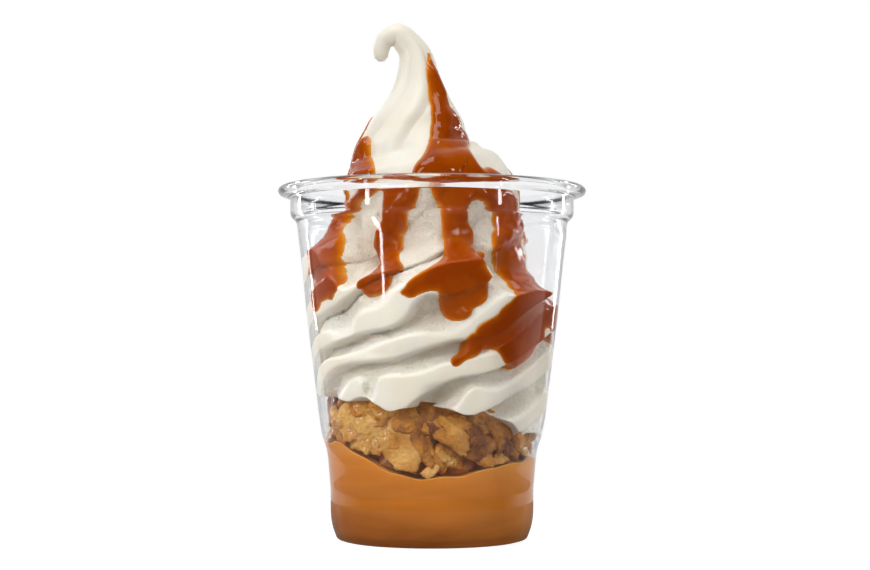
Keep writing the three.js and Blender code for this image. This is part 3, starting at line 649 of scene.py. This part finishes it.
# Height of the topmost coil's lower edge by angle, and the rope's free radius and how far it is
# drawn over to the wall by the angle unwound along it.
CREST = [
    (-180, 105.6), (-120, 99), (-90, 94.7), (-65, 91), (-52, 82.5), (-42, 77), (-30, 79.5),
    (5, 84), (20, 85), (30, 78.5), (42, 75), (58, 76), (75, 75.4), (120, 68), (180, 62.4),
]
ROPE_RADIUS = [
    (-900, 16), (-640, 17), (-540, 23), (-450, 26.3), (-275, 27), (-225, 29.5), (-180, 33.5),
    (-120, 40), (180, 40),
]
ROPE_ON_WALL = [(-275, 0), (-180, 0.45), (-110, 1), (180, 1)]
# The ribs: how many, how far apart on the wall, their slope, and their depth and turn by height.
RIBS = 7
RIB_SPACING = 13
RIB_EDGE = 45.5
RIB_SLOPE = RIBS * RIB_SPACING / 360
RIB_DEPTH = [
    (30, 5.5), (76, 5), (90, 2.6), (100, 2), (114, 1.8), (130, 1.3), (142, 0.7), (152, 0.1), (165, 0),
]
RIB_TURN = (92 - RIB_EDGE) / RIB_SLOPE
RIB_TWIST = [
    (20, (20 - RIB_EDGE) / RIB_SLOPE), (92, RIB_TURN), (104, RIB_TURN + 34), (118, RIB_TURN + 66),
    (135, RIB_TURN + 100), (150, RIB_TURN + 112), (165, RIB_TURN + 118),
]
# Places where the ribs' edges sag or climb, and places where the surface falls back or fills out:
# angle, height, half-width in degrees, half-height, amount.
EDGE_SHIFTS = [
    (-48, 50, 24, 8, 7), (-20, 66, 11, 5, -4), (-3, 72, 9, 5, 2.5), (30, 62, 16, 6, -2),
    (-20, 42, 9, 6, -2.5), (12, 47, 10, 6, 1.5), (-36, 44, 6, 5, 4), (110, 60, 20, 8, 4),
    (170, 74, 14, 9, -4), (-130, 66, 18, 9, 5),
]
DENTS = [
    (3, 66, 13, 5, -4.5), (-49, 66, 6, 11, -2.5), (-40, 64, 5, 6, -2), (4, 43, 11, 5, -4),
    (-32, 45, 6, 4, -4), (45, 42, 14, 5, -3), (-20, 46, 9, 6, 3), (21, 43, 6, 5, 3.5),
    (-30, 55.5, 22, 2.4, -1.5), (2, 56.5, 16, 2.2, -1.8), (130, 52, 13, 6, -4),
    (-150, 58, 13, 7, -4.5), (-95, 74, 10, 8, -4),
]
# The peak by level, which is the length along its middle line: sideways place, height and radius.
PEAK_X = [
    (30, 0), (96, 0), (104, -0.3), (110.7, -2), (114, -3.6), (118, -4.8), (122, -4.6), (126, -4.1),
    (134, -3.75), (138, -3.9), (141.5, -4.2), (144.9, -5), (148.2, -6.6), (152.8, -10.6),
    (157.2, -14.3), (160.9, -15.3), (163.5, -15.1),
]
PEAK_Z = [
    (30, 30), (141.5, 141.5), (144.9, 144.9), (148.2, 147.7), (152.8, 151.1), (157.2, 149.4),
    (160.9, 145.9), (163.5, 143.3),
]
PEAK_RADIUS = [
    (30, 70), (84, 40), (92, 29.5), (100, 27.3), (105, 26.2), (108, 25.2), (110.7, 23.6),
    (112.5, 21.8), (114.3, 19.6), (118, 17.3), (122, 15.3), (126, 13.6), (130, 11.2), (134, 8.85),
    (138, 7.06), (141.5, 6), (144.9, 5.1), (148.2, 4.3), (152.8, 3.5), (157.2, 2.7), (160.9, 2.35),
    (162.6, 1.9), (163.2, 1.0),
]
# Where the ice cream's lower edge sags between flakes: angle, half-width in degrees, amount.
FOOT_SAGS = [(-37, 6, 2.2), (-21, 6, -2.0), (-4, 5, 1.0), (15, 5, -0.9), (29, 6, 1.9), (54, 7, -2.0)]


def ease(low, high, x):
    """0 below low, 1 above high, and the smooth step 3t^2 - 2t^3 between them."""
    t = np.clip((x - low) / (high - low), 0, 1)
    return t * t * (3 - 2 * t)


def hills(angle, height, places):
    """Sum of soft hills: amount times exp(-(angle off / half-width)^2 - (height off /
    half-height)^2)."""
    return sum(
        amount * np.exp(-(((angle - a) / wide) ** 2) - ((height - z) / tall) ** 2)
        for a, z, wide, tall, amount in places
    )


def soft_least(a, b, soft):
    """The lower of two values, with the corner between them rounded over about `soft`."""
    return b - soft * np.logaddexp(0, (b - a) / soft)


def rope_radius(unwound, angle, height):
    """Radius of the rope's outside: its free radius by the angle unwound along it, drawn over to
    just past the wall where it is pressed."""
    free = steady_curve(ROPE_RADIUS, unwound)
    drawn_over = wall_inside(angle, height) + PRESSED_OVER - free
    return free + drawn_over * steady_curve(ROPE_ON_WALL, unwound)


def furrow(angle, height):
    """Depth of the furrow between the ribs. The phase runs 0 to 1 across each rib and turns with
    height; pressed ribs have a sharp lower edge, free ones are round."""
    wave = 0.05 * np.sin(np.radians(3 * angle + 50) - 0.13 * height)
    wave = wave + 0.04 * np.sin(np.radians(5 * angle) + 0.09 * height)
    shift = np.where(height < 96, hills(angle, height, EDGE_SHIFTS), 0)
    phase = (steady_curve(RIB_TWIST, height) - angle) * RIBS / 360 - shift / RIB_SPACING + wave
    rib = np.floor(phase) % RIBS
    across = phase - np.floor(phase)
    sharp = ease(0, 0.12, across) * (1 - ease(0.35, 1.02, across))
    soft = 0.5 - 0.5 * np.cos(2 * math.pi * across ** 0.8)
    free = ease(-6, 8, height - steady_curve(CREST, angle))
    depth = steady_curve(RIB_DEPTH, height) * (1 + 0.22 * np.sin(2.4 * rib + 0.6))
    return depth * (1 - (sharp * (1 - free) + soft * free))


def ice_radius(angle, height, clear):
    """Radius of the ice cream round its middle line. The coil is unwound by one turn for each pitch
    above the crest, neighbouring turns blend at its shoulder, furrows and dents are cut in, and it
    stays inside the peak's outline and, in the cup, the wall less `clear`."""
    angle = (angle + 180) % 360 - 180
    over = height - steady_curve(CREST, angle)
    turns = np.floor(over / PITCH)
    up = over - turns * PITCH
    unwound = angle - 360 * (turns + 1)
    here = rope_radius(unwound, angle, height)
    shoulder = 5 + 10 * ease(35, 70, angle) * (1 - ease(100, 150, angle))
    above = rope_radius(unwound - 360, angle, height) - here
    below = rope_radius(unwound + 360, angle, height) - here
    radius = here + above * 0.6 * ease(PITCH - COIL_BLEND, PITCH, up)
    radius = radius + below * 0.4 * (1 - ease(0, shoulder, up))
    under = UNDERCUT * np.exp(-(((up - UNDERCUT_AT) / UNDERCUT_TALL) ** 2)) * (turns >= 0)
    under = under * (1 - ease(*UNDERCUT_ENDS, height))
    cut = furrow(angle, height) + under
    radius = radius - cut + (1 - ease(-1, 1, over)) * hills(angle, height, DENTS)
    most = steady_curve(PEAK_RADIUS, height)
    peak = ease(*PEAK_BEGINS, height)
    radius = soft_least(radius, most, 1.2) * (1 - peak) + (most - 0.9 * cut) * peak
    pressed = soft_least(radius, wall_inside(angle, height) - clear, 0.25)
    return np.where(height < PRESSED_BELOW, pressed, radius)


def on_ice(angle, level, radius):
    """Points at a radius square to the ice cream's middle line, which leans and hooks over at the
    top: the line's own point plus r sin a and r cos a along its two cross directions."""
    lean = ease(*LEANS_BETWEEN, level)
    dx = (steady_curve(PEAK_X, level + 0.2) - steady_curve(PEAK_X, level - 0.2)) / 0.4 * lean
    dz = (steady_curve(PEAK_Z, level + 0.2) - steady_curve(PEAK_Z, level - 0.2)) / 0.4
    long = np.maximum(np.hypot(dx, dz), 1e-9)
    side = radius * np.sin(np.radians(angle))
    return np.stack(np.broadcast_arrays(
        steady_curve(PEAK_X, level) + side * dz / long,
        -radius * np.cos(np.radians(angle)),
        steady_curve(PEAK_Z, level) - side * dx / long,
    ), -1)


# The caramel that was poured over the peak runs down in drips that spread where they meet the
# wall. Each run goes through points of angle, level and half-width in millimetres.
CARAMEL_RUNS = [
    # the broad flow down the looked-at side of the peak, with its two skirts
    [(45.9, 143.9, 0.8), (41.3, 142.7, 1), (33.8, 138.5, 1.9), (35.6, 134.8, 2.5), (32.8, 127.6, 3.6),
     (43, 122.2, 6.9), (36, 119, 6.1), (24.3, 114.2, 5.2), (19, 109.2, 7.6), (17.5, 106, 6.7),
     (15.3, 104.5, 5.6)],
    [(17, 113.3, 2.6), (8, 110.5, 3.3), (1, 108.4, 4), (-9.6, 106, 1.8), (-14, 104.4, 3.4),
     (-20.6, 100.8, 4.8)],
    [(33.8, 113.6, 1.2), (34.4, 109, 1.7), (41, 106.3, 2), (45, 105.7, 2.8), (49.4, 103.6, 4.2)],
    [(24, 104.6, 3.3), (38, 102.2, 3.2), (48, 104.2, 3)],
    # left blob, bridge and the first drip, which ends in two lobes on the wall
    [(-66.4, 119, 0.9), (-67, 116, 1.1), (-67.1, 115.6, 4), (-60, 113, 4), (-50.3, 109.6, 5.2),
     (-46, 106.4, 2.7)],
    [(-46, 104.6, 1.8), (-40, 103.9, 1.2), (-33, 103.4, 1.1), (-26, 103, 2), (-20, 102.6, 2.6)],
    [(-44.4, 105, 3), (-49.5, 103, 2.3), (-57, 101.3, 1.6), (-65.8, 99.6, 1.8), (-74.1, 98.2, 3.1),
     (-77, 96, 4), (-72, 92.4, 2.7), (-67, 89.6, 2.8), (-62, 86.5, 3.6), (-58.6, 81.5, 3.6),
     (-59.7, 78.1, 4.6), (-57.4, 76.2, 5.5), (-59.7, 76, 6.1), (-61.3, 73, 4), (-61.9, 70.6, 3),
     (-62, 68.9, 1.3)],
    [(-49.6, 75, 2.4), (-49.1, 74, 1.3), (-50.6, 71.8, 0.9)],
    # second drip, with the small spur of its foot
    [(-16, 101.5, 3.4), (-21.6, 100, 4.2), (-24.6, 96.4, 4), (-25, 93.2, 4), (-28, 92.4, 3.3),
     (-31.9, 86.4, 4.7), (-32, 85.6, 4.5), (-27.4, 85, 2.6), (-24.5, 82, 3.6), (-23.1, 78.8, 3.6),
     (-23.5, 78.4, 3.3), (-25.5, 76.6, 4.9), (-27.5, 75.6, 4.4)],
    [(-20.5, 80.6, 2.4), (-15.2, 80, 0.8), (-16, 80.3, 0.8)],
    # third drip with its pool, long left tip and right spur
    [(21.2, 104.3, 5.2), (13.7, 102.6, 6), (17.5, 100.6, 3.4), (14.6, 97, 3.6), (13.8, 96.4, 3.9),
     (15.6, 91, 4.2), (18.1, 89.8, 4.6), (18.6, 87, 4.4), (15.5, 86.8, 4.2), (13.6, 81.4, 4.8),
     (11.8, 78, 6.2), (14.2, 74.6, 6.8), (16.9, 74.6, 6.3), (12.8, 72, 5.4), (10.8, 68.6, 4.1)],
    [(8.6, 76.5, 4.8), (3.9, 77.3, 3.8), (0.1, 76.5, 3.6), (-6.9, 74.4, 2.7), (-9, 73.4, 2.2),
     (-12, 72.9, 1)],
    [(18.2, 81.7, 3.4), (23.5, 83.3, 1.2), (33.6, 83.4, 1.7)],
    # fourth drip, its pool with the long tip, its lobe, the band along the wall and a side strand
    [(48, 103.6, 4), (49.9, 101.4, 5.8), (54.6, 100, 5.1), (57.1, 96.6, 3.5), (56, 93.4, 5.6),
     (56.2, 93.6, 2.4), (48.8, 88.2, 4.1), (53.3, 89.2, 4.3), (67.1, 87, 6.6), (64.1, 83.5, 5),
     (61, 80.8, 4.7), (59, 78, 5.5), (56.5, 75.4, 6.4), (55, 70.5, 6.6), (53, 68, 6.8),
     (49.4, 66, 5.2), (50.1, 61.4, 7.9), (42.9, 59.2, 8.2)],
    [(43.5, 68.6, 4.4), (37.5, 65.2, 4.8), (32.8, 62.8, 4.7), (25.8, 61, 4.2), (25.7, 61.2, 3.5),
     (23.2, 59.1, 2.5), (20.5, 58.7, 3.2), (18.3, 57.1, 2.7), (15.1, 55.2, 1.8), (11, 53.5, 1.6)],
    [(62.7, 69.6, 6.8), (68, 67.4, 4.6), (76.6, 65.2, 4.8), (83, 63.2, 5.5), (88, 62, 4)],
    [(64.4, 100.4, 3.2), (64.9, 96.1, 1), (76.9, 92, 3), (81.9, 92, 3.8), (80, 89, 0.8)],
    # the sides that are turned away
    [(112, 118, 1.6), (112, 112, 3.4), (110, 105, 4.2), (111, 97, 3.6), (113, 87, 3.8), (118, 77, 4),
     (121, 68.5, 4.2), (121, 63, 2.4)],
    [(146, 120, 2), (150, 111, 4.6), (146, 101, 4.2), (142, 91, 3.8), (141, 82, 2.4)],
    [(178, 114, 3), (182, 106, 4.6), (186, 97, 3.6), (190, 88, 2.8)],
    [(-86, 125.5, 0.9), (-92, 121, 1.6), (-103, 113, 3.8), (-108, 105.5, 4.4), (-106, 96, 3.6),
     (-104, 87, 4), (-103, 79, 2.6)],
    [(-140, 114, 3.4), (-144, 106, 4.4), (-142, 97, 3.6), (-138, 89, 4.2), (-136, 81, 2.2)],
]
CARAMEL_THICK = 2.0
CARAMEL_ROUNDED = 2.6
NOWHERE = -60.0
RUN_BLEND = 0.9
RUN_REACH = 9
RUN_CLEAR = 1.4
OUTLINE_INSET = 0.35


def run_samples(points):
    """Points about 0.8 mm apart along the smooth curve through a run's points: Catmull-Rom, the
    cubic through each two neighbours whose slope at a point is half the step between the points on
    both sides of it."""
    p = np.array(points, float)
    p = np.concatenate([[2 * p[0] - p[1]], p, [2 * p[-1] - p[-2]]])
    t = np.linspace(0, 1, 14, endpoint=False)[None, :, None]
    a, b, c, d = (p[k:len(p) - 3 + k, None] for k in range(4))
    square, cube = 2 * a - 5 * b + 4 * c - d, 3 * b - a - 3 * c + d
    curve = 0.5 * (2 * b + (c - a) * t + square * t**2 + cube * t**3)
    return np.concatenate([curve.reshape(-1, 3), p[-2:-1]])


def caramel_depth(angle, level):
    """How far a point lies inside the caramel's outline, in millimetres, and below 0 outside it:
    the largest of half-width less distance over all runs, with runs that meet blended over a
    millimetre, and the outline made slightly uneven."""
    angle, level = np.broadcast_arrays(angle, level)
    inside = np.full(angle.shape, NOWHERE)
    for points in CARAMEL_RUNS:
        a, z, half = run_samples(points).T
        per_degree = ice_radius(a, z, RUN_CLEAR) * math.pi / 180
        near = (level[:, 0] > z.min() - RUN_REACH) & (level[:, 0] < z.max() + RUN_REACH)
        own = np.full(angle.shape, NOWHERE)
        rows = np.flatnonzero(near)
        off = (angle[rows][..., None] - a + 180) % 360 - 180
        away = np.hypot(off * per_degree, level[rows][..., None] - z)
        own[rows] = (half - away).max(-1)
        inside = RUN_BLEND * np.logaddexp(inside / RUN_BLEND, own / RUN_BLEND)
    here = round_point(30, angle, level)
    return inside - OUTLINE_INSET + 0.28 * grain(here, 5.5, 3) + 0.12 * grain(here, 2.4, 4)


def caramel_height(depth, angle, level):
    """Height of the caramel over the ice cream: it rises in a quarter circle from the outline and
    levels off, fuller in some places than in others. Outside the outline it falls away under the
    ice cream."""
    full = CARAMEL_THICK * (1 + 0.22 * grain(round_point(30, angle, level), 9.0, 5))
    rounded = np.clip(depth / CARAMEL_ROUNDED, 0, 1)
    rise = full * np.sqrt(1 - (1 - rounded) ** 2)
    return np.where(depth > 0, rise, np.maximum(1.3 * depth, -0.7))


def bare_ice(angle, level):
    """Radius of the ice cream's skin, its roughness and how far it lies back, both 0 to 1, and the
    height of the caramel on it. Pressed parts reach just into the wall and are smooth, set-back
    parts are torn and rough, and caramel on the wall pushes the ice cream back by its own
    height."""
    height = caramel_height(caramel_depth(angle, level), angle, level)
    free = ice_radius(angle, level, -ICE_INTO_WALL)
    back = wall_inside(angle, level) - free
    rough = ease(0.1, 1.2, back) * (1 - ease(98, 112, level))
    here = round_point(free, angle, level)
    torn = 0.20 * grain(here, 1.6, 11, 18) + 0.34 * grain(here * np.array([1, 1, 1.6]), 4.2, 12)
    radius = free + torn * rough * (1 - 0.5 * ease(84, 96, level))
    pushed = wall_inside(angle, level) + ICE_INTO_WALL - 0.9 * np.maximum(height, 0)
    radius = np.where(level < PRESSED_BELOW, np.minimum(radius, pushed), radius)
    return radius, rough, ease(0.4, 7, back) * (1 - ease(100, 108, level)), height


def foot_level(angle):
    """Height of the ice cream's lower edge: the biscuit's top, and sags between the flakes."""
    uneven = 0.5 * np.sin(np.radians(11 * angle))
    return biscuit_top(angle, 1) - 0.4 + sagged(angle, FOOT_SAGS) + uneven


def ice_rings():
    """Rings from the underside's middle out to the wall, and up the swirl to the end of its curl."""
    angle = np.linspace(-180, 180, ICE_COLUMNS, endpoint=False)[None, :]
    foot = foot_level(angle)
    share = np.linspace(0.03, 0.97, 12)[:, None]
    edge = bare_ice(angle, foot + 0 * share[:1])[0]
    sunk = (foot - biscuit_top(angle, 1)) * share**6
    under = round_point(edge * share, angle, biscuit_top(angle, share) + sunk)
    coils = np.linspace(0, 1, 176)[:, None] * (116 - foot) + foot
    peak = np.concatenate([np.linspace(116.5, 150, 44), np.linspace(150.5, TIP_LEVEL, 26)])
    level = np.concatenate([coils, peak[:, None] + 0 * angle])
    radius, rough, back, _ = bare_ice(angle + 0 * level, level)
    skin = on_ice(angle + 0 * level, level, radius)
    hidden = np.ones(under.shape[:2])
    rings = np.concatenate([under, skin])
    return rings, np.concatenate([hidden, rough]), np.concatenate([hidden, back])


ice_points, ice_rough, ice_back = ice_rings()
swirl = closed_skins("soft_ice_swirl", ice_points[None], rough=ice_rough[None], back=ice_back[None])

# Soft ice cream: creamy white and dense, smooth where the wall or the nozzle pressed it, and
# finely grained with frozen air bubbles where it tore. Where it lies back from the wall, deep in
# the folds, its colour is mixed towards a darker tan: painted shade.
soft_ice, ice, add = new_material("soft_ice_cream")
place = add("TexCoord", "Object")
rough_mark = add("Attribute", "Fac", attribute_name="rough")
fine_bubbles = add("TexNoise", "Fac", Vector=place, Scale=1500.0, Detail=3.0, Roughness=0.6)
folds = add("TexNoise", "Fac", Vector=place, Scale=330.0, Detail=3.0, Roughness=0.5)
cloud = add("TexNoise", "Fac", Vector=place, Scale=60.0, Detail=2.0)
ice_colour = colour_scale(add, cloud, (0.3, (0.91, 0.835, 0.70)), (0.7, (0.955, 0.90, 0.80)))
# Painted shade: the further a part lies back from the wall, the more its colour is mixed, up to half,
# towards a darker tan.
back_mark = add("Attribute", "Fac", attribute_name="back")
fold_shade_share = add("MapRange", "Result", back_mark, To_Max=0.5)
painted_fold_shade = add(
    "Mix", "Result", data_type="RGBA", Factor=fold_shade_share, A=ice_colour, B=(0.84, 0.735, 0.59, 1)
)
bubble_depth = add("MapRange", "Result", rough_mark, To_Min=0.08, To_Max=1.0)
fold_depth = add("MapRange", "Result", rough_mark, To_Min=0.03, To_Max=0.75)
bubble_bump = add("Bump", "Normal", Height=fine_bubbles, Strength=bubble_depth, Distance=0.0009)
fold_bump = add(
    "Bump", "Normal", Height=folds, Strength=fold_depth, Normal=bubble_bump, Distance=0.0020
)
ice_dull = add("MapRange", "Result", rough_mark, To_Min=0.38, To_Max=0.7)
tune(ice, Base_Color=painted_fold_shade, Normal=fold_bump, Roughness=ice_dull, Specular_IOR_Level=0.35)
tune(ice, Subsurface_Weight=0.4, Subsurface_Radius=(1.0, 0.72, 0.45), Subsurface_Scale=0.0009)
swirl.data.materials.append(soft_ice)
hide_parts("ice_cream")
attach(swirl, "root")

# ---------------------------------------------------------------------------------------------
# Caramel topping. The same sauce, warm and clear, poured over the peak: it runs down the swirl in
# fat rounded drips and spreads into flat pools where it is caught between ice cream and wall.
CARAMEL_COLUMNS = 800
CARAMEL_ROWS = 250
CARAMEL_UNDER = 1.1
CARAMEL_LEVELS = (49, 147)
REACHES = -0.45


def levelled(field, across, along):
    """The field averaged over a window that many cells wide and tall, twice over, as a liquid evens
    out what it covers; it goes on round the cup and stops at the top and bottom."""
    for _ in range(2):
        for axis, half in ((1, across), (0, along)):
            mode = "wrap" if axis else "edge"
            margin = [(half + 1, half) if k == axis else (0, 0) for k in (0, 1)]
            padded = np.pad(field, margin, mode=mode)
            total = np.cumsum(padded, axis=axis)
            ahead, behind = [slice(None)] * 2, [slice(None)] * 2
            ahead[axis], behind[axis] = slice(2 * half + 1, None), slice(None, -2 * half - 1)
            field = (total[tuple(ahead)] - total[tuple(behind)]) / (2 * half + 1)
    return field


def caramel_body():
    """Points and faces of the caramel. On an even grid of angle and level, one sheet lies on the
    caramel's height over the ice cream and one a little under the ice cream's skin; only cells that
    the caramel reaches are kept, and a strip joins both sheets round every edge."""
    grid = np.zeros((CARAMEL_ROWS, CARAMEL_COLUMNS))
    angle = np.linspace(-180, 180, CARAMEL_COLUMNS, endpoint=False)[None, :] + grid
    level = np.linspace(*CARAMEL_LEVELS, CARAMEL_ROWS)[:, None] + grid
    ice_skin, _, _, height = bare_ice(angle, level)
    wall = wall_inside(angle, level) + ICE_INTO_WALL + 0.06
    filled = np.maximum(ice_skin, levelled(ice_skin, 7, 7)) - ice_skin
    over_furrows = ice_skin + np.minimum(filled, 2.4) * ease(0.2, 1.6, height)
    here = round_point(30, angle, level)
    ripple = 0.10 * grain(here, 5.0, 21) + 0.03 * grain(here, 2.2, 22)
    outer = over_furrows + height + 0.04 + ripple * ease(0.4, 1.6, height)
    outer = np.where(level < PRESSED_BELOW, np.minimum(outer, wall), outer)
    sheets = np.stack([on_ice(angle, level, skin) for skin in (outer, ice_skin - CARAMEL_UNDER)])
    reached = height > REACHES
    either = reached | np.roll(reached, -1, axis=1)
    cell = either[:-1] | either[1:]
    number = np.arange(angle.size).reshape(angle.shape)
    onward = np.roll(number, -1, axis=1)
    corners = [number[:-1], onward[:-1], onward[1:], number[1:]]
    top = np.stack(corners, -1)[cell]
    below = top[:, ::-1] + angle.size
    faces = [top, below]
    none = np.zeros((1, CARAMEL_COLUMNS), bool)
    beyond = [
        np.concatenate([none, cell[:-1]]),
        np.roll(cell, -1, 1),
        np.concatenate([cell[1:], none]),
        np.roll(cell, 1, 1),
    ]
    for side in range(4):
        edge = cell & ~beyond[side]
        a, b = corners[side][edge], corners[(side + 1) % 4][edge]
        faces.append(np.stack([b, a, a + angle.size, b + angle.size], -1))
    faces = np.concatenate(faces)
    used, faces = np.unique(faces, return_inverse=True)
    depth = np.concatenate([np.maximum(height, 0).ravel(), np.zeros(angle.size)]) / CARAMEL_THICK
    return sheets.reshape(-1, 3)[used], faces.reshape(-1, 4), depth[used].astype(np.float32)


caramel_points, caramel_faces, caramel_deep = caramel_body()
caramel_mesh = bpy.data.meshes.new("caramel_topping")
caramel_mesh.from_pydata((caramel_points * MM).tolist(), [], caramel_faces.tolist())
caramel_mesh.shade_smooth()
deep = caramel_mesh.attributes.new("deep", "FLOAT", "POINT")
deep.data.foreach_set("value", caramel_deep)
topping = bpy.data.objects.new("caramel_topping", caramel_mesh)
bpy.context.scene.collection.objects.link(topping)

# Clear caramel: amber and bright where it is thin at the edges, deep orange-brown where it is
# thick, with a wet gloss.
clear_caramel, amber, add = new_material("clear_caramel")
place = add("TexCoord", "Object")
deep_mark = add("Attribute", "Fac", attribute_name="deep")
streaks = add("TexNoise", "Fac", Vector=place, Scale=120.0, Detail=3.0, Roughness=0.5, Distortion=0.8)
streak_tone = add(
    "MapRange", "Result", streaks, From_Min=0.3, From_Max=0.7, To_Min=-0.13, To_Max=0.13
)
caramel_tone = add("Math", "Value", deep_mark, streak_tone, operation="ADD")
caramel_colour = colour_scale(
    add,
    caramel_tone,
    (0.0, (0.84, 0.36, 0.03)),
    (0.3, (0.64, 0.17, 0.004)),
    (0.62, (0.44, 0.085, 0.0006)),
    (1.0, (0.33, 0.050, 0.0002)),
)
wet = add("MapRange", "Result", streaks, To_Min=0.03, To_Max=0.08)
ripples = add("TexNoise", "Fac", Vector=place, Scale=240.0, Detail=1.0)
ripple_bump = add("Bump", "Normal", Height=ripples, Strength=0.12, Distance=0.0006)
tune(amber, Base_Color=caramel_colour, Roughness=wet, Normal=ripple_bump)
tune(amber, IOR=1.5, Specular_IOR_Level=0.32)
tune(amber, Subsurface_Weight=0.3, Subsurface_Radius=(1.0, 0.25, 0.03), Subsurface_Scale=0.003)
topping.data.materials.append(clear_caramel)
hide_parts("ice_cream")
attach(topping, "root")
